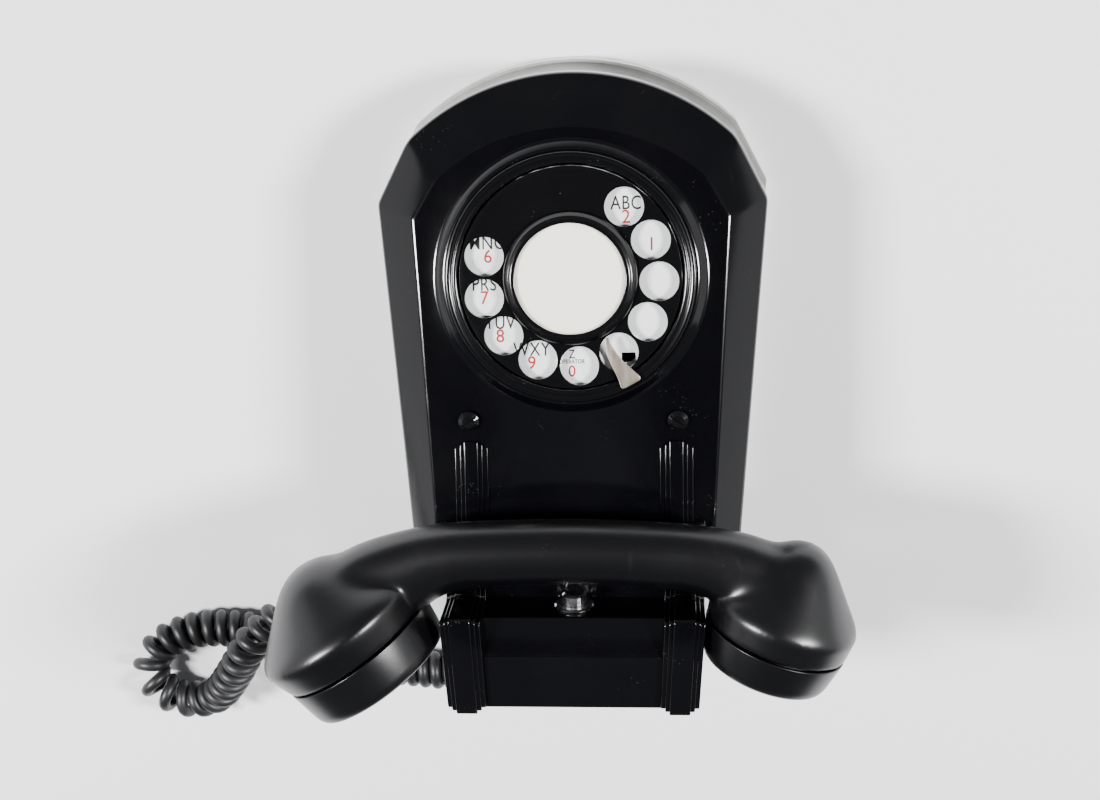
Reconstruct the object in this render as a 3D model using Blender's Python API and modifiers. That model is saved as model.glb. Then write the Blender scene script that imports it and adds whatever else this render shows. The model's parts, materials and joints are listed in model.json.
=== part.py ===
"""A rotary wall telephone, built as the separate pieces that it is put together from.

The telephone lies on its back: X runs to its right, Y to its top and Z out of its face.
The origin is on the back of the base plate, straight behind the middle of the dial.
"""

import math

import bmesh
import bpy
from mathutils import Matrix, Vector

# Clearances
GAP = 0.0003  # between pieces that touch
RUNNING_FIT = 0.0004  # round a piece that turns or slides
SIDES = 32  # facets round a large turned piece
SMALL_SIDES = 16  # facets round a screw or a pin

# Body: a wedge, thicker at its foot, with an arched top and chamfered edges
FACE_HEIGHT = 0.0547  # of the front face above the back, at the middle of the dial
FACE_TILT = math.radians(7.69)
CHAMFER_DEPTH = 0.009
WALL = 0.003
ARCH_TOP = 0.0677
ARCH_END = (0.0569, 0.0452)
SHOULDER = (0.0678, 0.0239)
HIP = (0.0584, -0.096)
BLOCK_TOP_HALF = 0.0457
BLOCK_FOOT_HALF = 0.0436
BLOCK_TOP = -0.1085
FOOT = -0.1385
FOOT_SLOPE = 0.0577  # how far the foot leans out per metre of height
FACE_ARCH_TOP = 0.0505
FACE_ARCH_END = (0.0466, 0.0331)
FACE_SHOULDER = (0.0543, 0.0202)
FACE_HIP = (0.0487, -0.0925)
FACE_BLOCK_INSET = 0.0085
ARCH_STEPS = 8

# Base plate, a shallow steel tray
TRAY_PROUD = 0.001
TRAY_HEIGHT = 0.008
SHEET = 0.0016
SEAM = 0.0006  # the dark line between tray and housing
KEYHOLES = ((0.0, 0.045), (0.0, -0.107))
KEYHOLE_R = 0.0045
KEYHOLE_SLOT = 0.0022
KEYHOLE_RISE = 0.009

# Cradle block
SEAT_HEIGHT = FACE_HEIGHT + 0.0179  # where the back of the handset lies
SEAT_TOP = -0.0835
SEAT_RAMP = 0.003  # from the face up to the seat
LEDGE_BACK = (-0.1100, SEAT_HEIGHT + 0.0030)
LEDGE_LIP = (-0.1093, SEAT_HEIGHT + 0.0236)
LIP_ROUND = 0.0012
PILLAR_FRONT_DROP = 0.0022  # how much the front leans out from lip to foot
PILLAR_INNER = 0.0317
PILLAR_STEP = 0.0016
PILLAR_PROUD = 0.0008
SHELF_BACK = (-0.1130, FACE_HEIGHT + 0.0053)
SHELF_EDGE = (-0.1124, SEAT_HEIGHT + 0.0154)
PANEL_EDGE = (-0.1235, SEAT_HEIGHT + 0.0224)
PANEL_FOOT_HEIGHT = SEAT_HEIGHT + 0.0236
BLOCK_CAVITY_HALF = 0.0402

# Ribs on the face
RIB_X = 0.0359
RIB_TOP = -0.0574
RIB_WIDTHS = (0.0117, 0.0080, 0.0049)
RIB_PROUD = (0.0006, 0.0012, 0.0018)
RIB_STEP = 0.0023

# Cover screws
SCREW_X, SCREW_Y = 0.0365, -0.0496
SCREW_HEAD_R = 0.0036
SCREW_HEAD = 0.0016
SCREW_SHANK_R = 0.0018
SCREW_LENGTH = 0.014
POST_R, POST_VENT_R = 0.0042, 0.0006

# Dial, with heights above the face along the dial's own axis
WHEEL_R, WHEEL_BOTTOM, WHEEL_SHEET = 0.0381, 0.0030, 0.0016
WHEEL_CLEARANCE = 0.0009  # between the wheel's rim and the ring round it
RING_INNER_R = WHEEL_R + WHEEL_CLEARANCE
RING_SKIRT_R, RING_SKIRT_DEPTH = RING_INNER_R + 0.0017, 0.0030
RING_OUTER_R = RING_INNER_R + 0.0040
RING_EDGE = 0.0006
BOSS_TOP_R, BOSS_FOOT_R, BOSS_HEIGHT = RING_OUTER_R + 0.0010, RING_OUTER_R + 0.0040, 0.003
RING_BOTTOM = BOSS_HEIGHT + GAP
RING_TOP = RING_BOTTOM + 0.0017
PLATE_R, PLATE_BOTTOM, PLATE_SHEET = WHEEL_R + 0.0001, GAP, 0.0010
CASE_R, CASE_WALL, CASE_DEPTH = RING_INNER_R - 0.0014, 0.0015, 0.0300
HOLES, HOLE_R, HOLE_PITCH_R = 10, 0.00675, 0.0304
HOLE_FIRST, HOLE_STEP = math.radians(52.3), math.radians(27.43)
CARD_RING_R, CARD_LIP_R, CARD_RABBET = 0.0230, 0.0190, 0.0009
CARD_RING_HEIGHT = 0.0033
CARD_SHEET = 0.0004
STOP_SHEET = 0.0010
STOP_ANGLE = math.radians(-61.5)  # of the stop's foot on the ring
STOP_OUTLINE = (  # from the middle of the foot
    (-0.0025, -0.0025),
    (0.0018, -0.0018),
    (0.0044, 0.0008),
    (0.0012, 0.0048),
    (-0.0025, 0.0081),
    (-0.0053, 0.0117),
    (-0.0070, 0.0155),
    (-0.0083, 0.0146),
    (-0.0078, 0.0105),
    (-0.0061, 0.0063),
    (-0.0039, 0.0019),
)
SLOT_ANGLE, SLOT_R = math.radians(-54.9), HOLE_PITCH_R + 0.0037
SLOT_HALF = (0.0024, 0.0017)  # of the slot in the number plate, across and along
SHAFT_R, SHAFT_HEAD_R, SHAFT_STEP = 0.0030, 0.0060, 0.0004
SPINDLE_R = 0.0012
BRIDGE_DEPTH, BRIDGE_SHEET = 0.0250, 0.0015
BRIDGE_R = CASE_R - CASE_WALL - 0.0021
BRIDGE_POST_R = 0.0022

# Dial gears
MODULE = 0.0008
MAIN_TEETH, IMPULSE_TEETH, GOVERNOR_TEETH = 45, 15, 12
IMPULSE_ANGLE, GOVERNOR_ANGLE = math.radians(200), math.radians(328)
GEAR_DEPTH, GEAR_SHEET = 0.0060, 0.0015
TOOTH, ADDENDUM, DEDENDUM = 0.0010, 0.0006, 0.0009
CAM_R, CAM_LIFT = 0.0042, 0.0012
CUP_R, CUP_SHEET, CUP_TOP = 0.0090, 0.0012, -0.0145
DRUM_R, DRUM_TOP = 0.0120, -0.0105

# Hook switch
PLUNGER_R, PLUNGER_OUT, PLUNGER_IN = 0.0042, 0.0057, 0.0116
PLUNGER_TIP_R, PLUNGER_TRAVEL = 0.0018, 0.005
PLUNGER_HEIGHT = SEAT_HEIGHT + 0.0054
BUSH_WALL = 0.0012
LEVER_PIVOT_HEIGHT = 0.040
LEVER_SHEET, LEVER_WIDTH = 0.0014, 0.010
LEVER_PIN_R, LEVER_HUB_R = 0.0015, 0.0030
BRACKET_HALF, BRACKET_SHEET = 0.0110, 0.0016
BRACKET_HEIGHT = PLUNGER_HEIGHT - 0.0120

# Ringer
GONG_X, GONG_Y, GONG_R, GONG_TOP, GONG_HEIGHT = 0.025, -0.076, 0.020, 0.0170, 0.0088
GONG_WALL, GONG_SCREW_R = 0.0012, 0.0016
CLAPPER_Y, CLAPPER_HEIGHT, CLAPPER_BALL_R = -0.0545, 0.0120, 0.0032
CLAPPER_PIN_R = 0.0014
CORE_X, CORE_R, COIL_R, COIL_LENGTH = 0.0120, 0.0025, 0.0068, 0.0220
COIL_BACK, COIL_FLANGE, FLANGE_SHEET = -0.0284, 0.0008, 0.0015
FRAME_SHEET = 0.0020

# Circuit
PART_TOP = 0.0150  # of the condenser and the induction coil, above the back
STRIP_TOP = 0.0075
TERMINALS, TERMINAL_PITCH, TERMINAL_Y, TERMINAL_R = 6, 0.0120, -0.0130, 0.0012

# Handset, in a plane parallel to the back
GRIP_BACK = 0.0110  # half thickness of the handle from front to back, at its middle
HANDSET_HEIGHT = SEAT_HEIGHT + GRIP_BACK + 0.0004
MOUTH_FACE, MOUTH_TURN = (-0.0679, -0.1366), math.radians(33.9)
EAR_FACE, EAR_TURN = (0.0653, -0.1333), math.radians(-18.8)
MOUTH_RIM_R, MOUTH_SEAM_R, MOUTH_RIDGE_R = 0.0264, 0.0290, 0.0321
MOUTH_SEAM, MOUTH_RIDGE = 0.0150, 0.0255
EAR_RIM_R, EAR_SEAM_R, EAR_RIDGE_R = 0.0218, 0.0251, 0.0261
EAR_SEAM, EAR_RIDGE = 0.0136, 0.0223
CUP_DEPTH = 0.0495
CAP_FACE, CAP_EYE_R, SOUND_HOLES, SOUND_HOLE_R = 0.0030, 0.0012, 6, 0.0014
MOUTH_HOLE_RING, EAR_HOLE_RING = 0.0095, 0.0060
CUP_WALL, CUP_FLOOR = 0.0040, 0.0080
CAPSULE_DEPTH = 0.0110
GRIP = (  # x, y and half width of the handle along its length
    (-0.0790, -0.1075, 0.0175),
    (-0.0690, -0.0995, 0.0148),
    (-0.0560, -0.0940, 0.0124),
    (-0.0400, -0.0910, 0.0114),
    (-0.0200, -0.0899, 0.0112),
    (0.0000, -0.0896, 0.0112),
    (0.0200, -0.0902, 0.0112),
    (0.0400, -0.0917, 0.0113),
    (0.0550, -0.0945, 0.0121),
    (0.0660, -0.0995, 0.0140),
    (0.0730, -0.1060, 0.0160),
)
GRIP_MIDDLE = 5  # the row of the table where the handle is GRIP_BACK thick

# Curly cord
CORD_R, CURL_R = 0.0023, 0.0075
NECK_R, SLEEVE_R, SOCKET_R = CORD_R + 0.0014, CORD_R + 0.0006, CORD_R + 0.0010
SOCKET_REACH = 0.0110  # of the sleeve out of the handset
CORD_EXIT = (-0.024, 0.0142)  # x and height of the grommet in the foot of the body
GROMMET_LENGTH = 0.012
ENTRY_LEAN, ENTRY_DEPTH, ENTRY_REACH = -0.31, 0.0075, 0.76  # of the socket in the handset
CORD_TAIL = (
    (-0.0240, -0.1566, 0.0136),
    (-0.0254, -0.1620, 0.0110),
    (-0.0285, -0.1660, 0.0092),
)
CURL_ROUTE = (
    (-0.0350, -0.1694, 0.0078),
    (-0.0480, -0.1722, 0.0078),
    (-0.0640, -0.1712, 0.0078),
    (-0.0910, -0.1680, 0.0078),
    (-0.1070, -0.1645, 0.0078),
    (-0.1210, -0.1590, 0.0078),
    (-0.1330, -0.1550, 0.0078),
    (-0.1450, -0.1538, 0.0078),
    (-0.1560, -0.1545, 0.0078),
    (-0.1670, -0.1586, 0.0078),
    (-0.1745, -0.1660, 0.0078),
    (-0.1755, -0.1750, 0.0080),
    (-0.1690, -0.1825, 0.0082),
    (-0.1590, -0.1845, 0.0090),
    (-0.1480, -0.1800, 0.0130),
    (-0.1380, -0.1660, 0.0220),
    (-0.1290, -0.1510, 0.0280),
    (-0.1180, -0.1400, 0.0300),
    (-0.1090, -0.1340, 0.0296),
)

UP = Vector((0, 0, 1))
FINISHES = {  # colour, roughness, metallic
    "black_moulding": ((0.010, 0.010, 0.011), 0.22, 0.0),
    "black_enamel": ((0.012, 0.012, 0.013), 0.30, 0.0),
    "black_rubber": ((0.015, 0.015, 0.016), 0.45, 0.0),
    "zinc_steel": ((0.55, 0.55, 0.52), 0.40, 1.0),
    "nickel": ((0.62, 0.60, 0.56), 0.25, 1.0),
    "chrome": ((0.75, 0.75, 0.76), 0.10, 1.0),
    "brass": ((0.70, 0.50, 0.20), 0.30, 1.0),
    "copper_winding": ((0.50, 0.20, 0.08), 0.45, 0.3),
    "white_enamel": ((0.72, 0.73, 0.72), 0.25, 0.0),
    "ivory_card": ((0.84, 0.83, 0.74), 0.55, 0.0),
    "clear_sheet": ((0.95, 0.95, 0.93), 0.05, 0.0),
    "brown_board": ((0.16, 0.08, 0.04), 0.55, 0.0),
    "foil_can": ((0.60, 0.60, 0.58), 0.35, 0.9),
}


# ---------------------------------------------------------------- scene and helpers


def clear_scene():
    for obj in list(bpy.data.objects):
        bpy.data.objects.remove(obj)


def new_collection(name):
    collection = bpy.data.collections.new(name)
    bpy.context.scene.collection.children.link(collection)
    return collection


def finish_of(obj, finish):
    """Gives the object a material of its own, in one of the finishes."""
    colour, roughness, metallic = FINISHES[finish]
    material = bpy.data.materials.new(obj.name + "_" + finish)
    material.use_nodes = True
    shader = material.node_tree.nodes["Principled BSDF"]
    shader.inputs["Base Color"].default_value = (*colour, 1.0)
    shader.inputs["Roughness"].default_value = roughness
    shader.inputs["Metallic"].default_value = metallic
    obj.data.materials.clear()
    obj.data.materials.append(material)


def link(name, data, finish=None, parent=None, location=(0, 0, 0), rotation=(0, 0, 0)):
    """An object in the telephone's collection, or a hidden cutter where it has no finish."""
    obj = bpy.data.objects.new(name, data)
    obj.location = location
    obj.rotation_euler = rotation
    obj.parent = parent
    if finish:
        PARTS.objects.link(obj)
        finish_of(obj, finish)
    else:
        CUTTERS.objects.link(obj)
        obj.hide_render = True
        obj.display_type = "WIRE"
    return obj


def mesh_from(bm, name, smooth=False):
    mesh = bpy.data.meshes.new(name)
    bmesh.ops.recalc_face_normals(bm, faces=bm.faces)
    bm.to_mesh(mesh)
    bm.free()
    if smooth:
        mesh.shade_smooth()
        mesh.set_sharp_from_angle(angle=math.radians(32))
    return mesh


def box(name, low, high, **place):
    """A block between two corners."""
    bm = bmesh.new()
    bmesh.ops.create_cube(bm, size=1)
    size = Vector(high) - Vector(low)
    middle = (Vector(high) + Vector(low)) / 2
    bmesh.ops.transform(bm, matrix=Matrix.Translation(middle) @ Matrix.Diagonal((*size, 1)), verts=bm.verts)
    return link(name, mesh_from(bm, name), **place)


def rod(name, start, end, radius, sides=SMALL_SIDES, **place):
    """A round bar between two points."""
    start, end = Vector(start), Vector(end)
    bm = bmesh.new()
    bmesh.ops.create_cone(
        bm, cap_ends=True, segments=sides, radius1=radius, radius2=radius, depth=(end - start).length
    )
    turn = UP.rotation_difference(end - start).to_matrix().to_4x4()
    bmesh.ops.transform(bm, matrix=Matrix.Translation((start + end) / 2) @ turn, verts=bm.verts)
    return link(name, mesh_from(bm, name, smooth=True), **place)


def turned(name, profile, sides=SIDES, **place):
    """A turned piece: (radius, height) points down its outer side, spun about the Z axis.

    A profile that starts and ends on the axis is solid, and any other is closed on itself.
    """
    mesh = bpy.data.meshes.new(name)
    points = [(r, 0, z) for r, z in profile]
    edges = [(i, i + 1) for i in range(len(points) - 1)]
    if profile[0][0] > 0:
        edges.append((len(points) - 1, 0))
    mesh.from_pydata(points, edges, [])
    obj = link(name, mesh, **place)
    screw = obj.modifiers.new("Turn", "SCREW")
    screw.steps = screw.render_steps = sides
    screw.use_merge_vertices = True
    screw.merge_threshold = 0.00001
    screw.use_smooth_shade = True
    return obj


def applied(obj):
    """Replaces the object's mesh by its evaluated one, welded."""
    bpy.context.view_layer.update()
    graph = bpy.context.evaluated_depsgraph_get()
    mesh = bpy.data.meshes.new_from_object(obj.evaluated_get(graph))
    bm = bmesh.new()
    bm.from_mesh(mesh)
    bmesh.ops.remove_doubles(bm, verts=bm.verts, dist=0.000001)
    bmesh.ops.recalc_face_normals(bm, faces=bm.faces)
    bm.to_mesh(mesh)
    bm.free()
    obj.modifiers.clear()
    obj.data = mesh
    return obj


def plate(name, outlines, bottom, top, **place):
    """A flat piece from closed outlines in XY: the first is its edge and the others are holes."""
    curve = bpy.data.curves.new(name, "CURVE")
    curve.dimensions = "2D"
    curve.fill_mode = "BOTH"
    curve.extrude = (top - bottom) / 2
    for outline in outlines:
        spline = curve.splines.new("POLY")
        spline.points.add(len(outline) - 1)
        for point, (x, y) in zip(spline.points, outline):
            point.co = (x, y, 0, 1)
        spline.use_cyclic_u = True
    guide = bpy.data.objects.new(name + "_outline", curve)
    bpy.context.scene.collection.objects.link(guide)
    bpy.context.view_layer.update()
    graph = bpy.context.evaluated_depsgraph_get()
    flat = bpy.data.meshes.new_from_object(guide.evaluated_get(graph))
    bpy.data.objects.remove(guide)
    bm = bmesh.new()
    bm.from_mesh(flat)
    bmesh.ops.translate(bm, vec=(0, 0, (top + bottom) / 2), verts=bm.verts)
    bmesh.ops.remove_doubles(bm, verts=bm.verts, dist=0.000001)
    return link(name, mesh_from(bm, name), **place)


def loft(name, rings, **place):
    """A closed solid through rings of as many points each, with flat ends."""
    bm = bmesh.new()
    rows = [[bm.verts.new(point) for point in ring] for ring in rings]
    count = len(rows[0])
    for lower, upper in zip(rows, rows[1:]):
        for i in range(count):
            j = (i + 1) % count
            bm.faces.new((lower[i], lower[j], upper[j], upper[i]))
    bm.faces.new(rows[0])
    bm.faces.new(rows[-1])
    return link(name, mesh_from(bm, name, smooth=len(rings) > 3), **place)


def across(name, profile, x0, x1, **place):
    """A solid of one side profile of (y, z) points, running across X."""
    return loft(name, [[(x, y, z) for y, z in profile] for x in (x0, x1)], **place)


def boolean(obj, other, operation):
    step = obj.modifiers.new(operation.title() + "_" + other.name, "BOOLEAN")
    step.object = other
    step.operation = operation
    step.solver = "EXACT"


def cut(obj, *cutters):
    for cutter in cutters:
        boolean(obj, cutter, "DIFFERENCE")


def join(obj, *others):
    for other in others:
        boolean(obj, other, "UNION")


def circle(x, y, radius, sides=24):
    return [
        (x + radius * math.cos(2 * math.pi * i / sides), y + radius * math.sin(2 * math.pi * i / sides))
        for i in range(sides)
    ]


def wire(name, points, radius, resolution=2, **place):
    """A round wire or cord through the points, as a curve with filled ends."""
    curve = bpy.data.curves.new(name, "CURVE")
    curve.dimensions = "3D"
    curve.bevel_depth = radius
    curve.bevel_resolution = resolution
    curve.use_fill_caps = True
    spline = curve.splines.new("POLY")
    spline.points.add(len(points) - 1)
    for target, point in zip(spline.points, points):
        target.co = (*point, 1)
    return link(name, curve, **place)


def smooth_route(points, spacing):
    """Points at the given spacing on one smooth curve through the route's own points."""
    points = [Vector(p) for p in points]
    padded = [2 * points[0] - points[1], *points, 2 * points[-1] - points[-2]]
    fine = []
    for a, b, c, d in zip(padded, padded[1:], padded[2:], padded[3:]):
        for i in range(20):
            t = i / 20
            bend = (2 * a - 5 * b + 4 * c - d) * t**2 + (3 * b - a - 3 * c + d) * t**3
            fine.append(0.5 * (2 * b + (c - a) * t + bend))
    fine.append(points[-1])
    length = sum((q - p).length for p, q in zip(fine, fine[1:]))
    count = max(2, round(length / spacing))
    kept, travelled, target = [fine[0]], 0.0, length / count
    for p, q in zip(fine, fine[1:]):
        step = (q - p).length
        while travelled + step >= target - 1e-9 and len(kept) < count:
            kept.append(p.lerp(q, (target - travelled) / step))
            target += length / count
        travelled += step
    kept.append(fine[-1])
    return kept


# ---------------------------------------------------------------- body outlines


def face_height(y):
    return FACE_HEIGHT - math.tan(FACE_TILT) * y


def foot_at(height):
    return FOOT - FOOT_SLOPE * height


def arch(top, end):
    """Points of an arc from (0, top) to end, level at its top."""
    drop = top - end[1]
    radius = (end[0] ** 2 + drop**2) / (2 * drop)
    sweep = math.asin(end[0] / radius)
    angles = [sweep * i / ARCH_STEPS for i in range(ARCH_STEPS + 1)]
    return [(radius * math.sin(a), top - radius + radius * math.cos(a)) for a in angles]


def both_sides(half):
    """A closed outline from its right half, which starts on the Y axis."""
    return half + [(-x, y) for x, y in reversed(half) if x > 0]


def body_outline(height):
    """The outer outline of the body at a height above the back."""
    side = [SHOULDER, HIP, (BLOCK_TOP_HALF, BLOCK_TOP), (BLOCK_FOOT_HALF, foot_at(height))]
    return both_sides(arch(ARCH_TOP, ARCH_END) + side)


def face_outline():
    """The outline of the front face inside the chamfers."""
    inset = FACE_BLOCK_INSET
    side = [
        FACE_SHOULDER,
        FACE_HIP,
        (BLOCK_TOP_HALF - inset, BLOCK_TOP + inset / 2),
        (BLOCK_FOOT_HALF - inset, foot_at(FACE_HEIGHT) + inset),
    ]
    return both_sides(arch(FACE_ARCH_TOP, FACE_ARCH_END) + side)


def grown(outline, distance):
    """The outline moved outwards by a distance, or inwards where it is negative."""
    area = sum(a[0] * b[1] - b[0] * a[1] for a, b in zip(outline, outline[1:] + outline[:1]))
    side = 1 if area > 0 else -1
    moved = []
    for i, here in enumerate(outline):
        before, after = Vector(outline[i - 1]), Vector(outline[(i + 1) % len(outline)])
        a = (Vector(here) - before).normalized()
        b = (after - Vector(here)).normalized()
        normal = (Vector((a.y, -a.x)) + Vector((b.y, -b.x))) * side
        normal = normal / max(1e-9, normal.length)
        reach = distance / max(0.3, normal.dot(Vector((a.y, -a.x)) * side))
        moved.append((here[0] + normal.x * reach, here[1] + normal.y * reach))
    return moved


def level(outline, height):
    return [(x, y, height) for x, y in outline]


def sloping(outline, drop):
    return [(x, y, face_height(y) - drop) for x, y in outline]


# ---------------------------------------------------------------- base and housing


def make_base_plate():
    outline = body_outline(0)
    edge = grown(outline, TRAY_PROUD)
    tray = loft("base_plate", [level(edge, z) for z in (0, TRAY_HEIGHT)], finish="zinc_steel")
    hollow = [level(grown(outline, TRAY_PROUD - SHEET), z) for z in (SHEET, TRAY_HEIGHT + SHEET)]
    cut(tray, loft("tray_hollow", hollow))
    for number, (x, y) in enumerate(KEYHOLES):
        eye = rod(f"keyhole_{number}", (x, y, -SHEET), (x, y, 2 * SHEET), KEYHOLE_R)
        low = (x - KEYHOLE_SLOT, y, -SHEET)
        high = (x + KEYHOLE_SLOT, y + KEYHOLE_RISE, 2 * SHEET)
        cut(tray, eye, box(f"keyhole_slot_{number}", low, high))
    applied(tray)


def cover_bottom():
    return TRAY_HEIGHT + SEAM


def pillar_profile(proud):
    """The side profile of one step of a pillar, standing proud of the widest step."""
    seat = SEAT_HEIGHT - PILLAR_PROUD * 2 + proud
    front_top = LEDGE_LIP[1] + proud - PILLAR_PROUD * 2 + 0.0016
    front_foot = front_top + PILLAR_FRONT_DROP
    foot = foot_at(front_foot) + PILLAR_PROUD * 2 - proud
    ledge = proud - PILLAR_PROUD * 2
    return [
        (SEAT_TOP, face_height(SEAT_TOP) - WALL / 2),
        (SEAT_TOP, face_height(SEAT_TOP) + 0.0004 + proud / 4),
        (SEAT_TOP - SEAT_RAMP, seat),
        (LEDGE_BACK[0] + 0.0035 + ledge, seat),
        (LEDGE_BACK[0] + ledge, LEDGE_BACK[1]),
        (LEDGE_LIP[0] + ledge, front_top - LIP_ROUND),
        (LEDGE_LIP[0] - LIP_ROUND + ledge, front_top),
        (foot + LIP_ROUND, front_foot),
        (foot, front_foot - LIP_ROUND),
        (foot_at(cover_bottom()) + PILLAR_PROUD * 2 - proud, cover_bottom()),
        (BLOCK_TOP - 0.004, cover_bottom()),
        (BLOCK_TOP - 0.004, SHELF_BACK[1] - WALL),
    ]


def narrowed(obj):
    """Draws a block's sides in towards its foot, as the mould does."""
    per_metre = (1 - BLOCK_FOOT_HALF / BLOCK_TOP_HALF) / (BLOCK_TOP - FOOT)
    for vertex in obj.data.vertices:
        vertex.co.x *= 1 - per_metre * max(0.0, BLOCK_TOP - vertex.co.y)


def make_pillars(housing):
    """Two pillars of three nested steps, each narrower and prouder than the last."""
    for side in (-1, 1):
        for step in range(3):
            edges = [PILLAR_INNER + step * PILLAR_STEP, BLOCK_TOP_HALF - step * PILLAR_STEP]
            low, high = sorted(side * edge for edge in edges)
            profile = pillar_profile(step * PILLAR_PROUD)
            slab = across(f"pillar_{step}_{side + 1}", profile, low, high)
            narrowed(slab)
            join(housing, slab)


def make_shelf(housing):
    """The block between the pillars, with a level shelf, a sloping panel and a front."""
    profile = [
        SHELF_BACK,
        SHELF_EDGE,
        PANEL_EDGE,
        (foot_at(PANEL_FOOT_HEIGHT) + 0.0008, PANEL_FOOT_HEIGHT),
        (foot_at(cover_bottom()) + 0.0008, cover_bottom()),
        (SHELF_BACK[0], cover_bottom()),
    ]
    half = PILLAR_INNER + PILLAR_STEP / 2
    join(housing, across("shelf_block", profile, -half, half))


def make_ribs(housing):
    """Two groups of three nested ribs down the face to the cradle."""
    for side in (-1, 1):
        for step, (width, proud) in enumerate(zip(RIB_WIDTHS, RIB_PROUD)):
            top = RIB_TOP - RIB_STEP * (2 - step) / 2
            low = (side * RIB_X - width / 2, SEAT_TOP - 0.006, -0.0010 - 0.0002 * step)
            high = (side * RIB_X + width / 2, top, proud)
            join(housing, box(f"rib_{step}_{side + 1}", low, high, parent=DIAL))


def block_cavity():
    """The hollow inside the cradle block, where the hook switch stands."""
    front = PANEL_FOOT_HEIGHT - WALL - 0.0012
    profile = [
        (BLOCK_TOP + 0.010, cover_bottom() - 0.002),
        (BLOCK_TOP + 0.010, SHELF_BACK[1]),
        (SHELF_BACK[0] - WALL, SHELF_BACK[1] + 0.0025),
        (SHELF_BACK[0] - WALL, SHELF_EDGE[1] - 0.0052),
        (PANEL_EDGE[0] - 0.001, front - 0.0012),
        (foot_at(front) + WALL, front),
        (foot_at(cover_bottom()) + WALL, cover_bottom() - 0.002),
    ]
    hollow = across("block_hollow", profile, -BLOCK_CAVITY_HALF, BLOCK_CAVITY_HALF)
    narrowed(hollow)
    return hollow


def make_housing():
    low = cover_bottom()
    outer = [
        level(body_outline(low), low),
        sloping(body_outline(FACE_HEIGHT), CHAMFER_DEPTH),
        sloping(face_outline(), 0),
    ]
    housing = loft("housing", outer, finish="black_moulding")
    boss = turned(
        "dial_boss",
        [(0, BOSS_HEIGHT), (BOSS_TOP_R, BOSS_HEIGHT), (BOSS_FOOT_R, 0), (BOSS_FOOT_R, -0.001), (0, -0.001)],
        parent=DIAL,
    )
    join(housing, boss)
    make_ribs(housing)
    make_shelf(housing)
    make_pillars(housing)
    inner = [
        level(grown(body_outline(low), -WALL), low - 0.002),
        sloping(grown(body_outline(FACE_HEIGHT), -WALL), CHAMFER_DEPTH + WALL * 0.6),
        sloping(grown(face_outline(), -WALL * 0.4), WALL),
    ]
    cut(housing, loft("body_hollow", inner), block_cavity())
    dial_hole = RING_SKIRT_R + GAP
    cut(housing, rod("dial_hole", (0, 0, -0.010), (0, 0, 0.010), dial_hole, sides=SIDES, parent=DIAL))
    for side in (-1, 1):
        hole = (side * SCREW_X, SCREW_Y)
        cut(housing, rod(f"screw_hole_{side + 1}", (*hole, 0.03), (*hole, 0.09), SCREW_SHANK_R + GAP))
    bush = PLUNGER_R + RUNNING_FIT + BUSH_WALL + GAP
    front, back = (0, SHELF_BACK[0] + 0.004, PLUNGER_HEIGHT), (0, SHELF_BACK[0] - 0.0065, PLUNGER_HEIGHT)
    cut(housing, rod("plunger_hole", front, back, bush, sides=20))
    x, z = CORD_EXIT
    cut(housing, rod("cord_hole", (x, FOOT - 0.008, z), (x, FOOT + 0.008, z), NECK_R + GAP))
    applied(housing)


def make_cover_fasteners():
    """Two slotted screws through the face, each into a post that stands on the base."""
    for side, name in ((-1, "left"), (1, "right")):
        x = side * SCREW_X
        face = face_height(SCREW_Y)
        seat = face + math.sin(FACE_TILT) * SCREW_HEAD_R + GAP
        screw = turned(
            f"cover_screw_{name}",
            [
                (0, SCREW_HEAD),
                (SCREW_HEAD_R * 0.6, SCREW_HEAD * 0.92),
                (SCREW_HEAD_R, SCREW_HEAD * 0.35),
                (SCREW_HEAD_R, 0),
                (SCREW_SHANK_R, 0),
                (SCREW_SHANK_R, -SCREW_LENGTH),
                (0, -SCREW_LENGTH),
            ],
            sides=20,
            finish="black_enamel",
            location=(x, SCREW_Y, seat),
        )
        slot = box(
            f"screw_slot_{name}",
            (-SCREW_HEAD_R * 1.2, -0.0004, SCREW_HEAD * 0.45),
            (SCREW_HEAD_R * 1.2, 0.0004, SCREW_HEAD * 2),
            location=(x, SCREW_Y, seat),
            rotation=(0, 0, -side * math.radians(35)),
        )
        cut(screw, slot)
        applied(screw)
        top = face - WALL - math.tan(FACE_TILT) * POST_R - 0.002
        bore = SCREW_SHANK_R + GAP
        depth = seat - SCREW_LENGTH - 0.002
        turned(
            f"cover_post_{name}",
            [
                (bore, top),
                (POST_R, top),
                (POST_R, SHEET + GAP),
                (POST_VENT_R, SHEET + GAP),
                (POST_VENT_R, depth),
                (bore, depth),
            ],
            sides=SMALL_SIDES,
            finish="zinc_steel",
            location=(x, SCREW_Y, 0),
        )


# ---------------------------------------------------------------- dial


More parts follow.
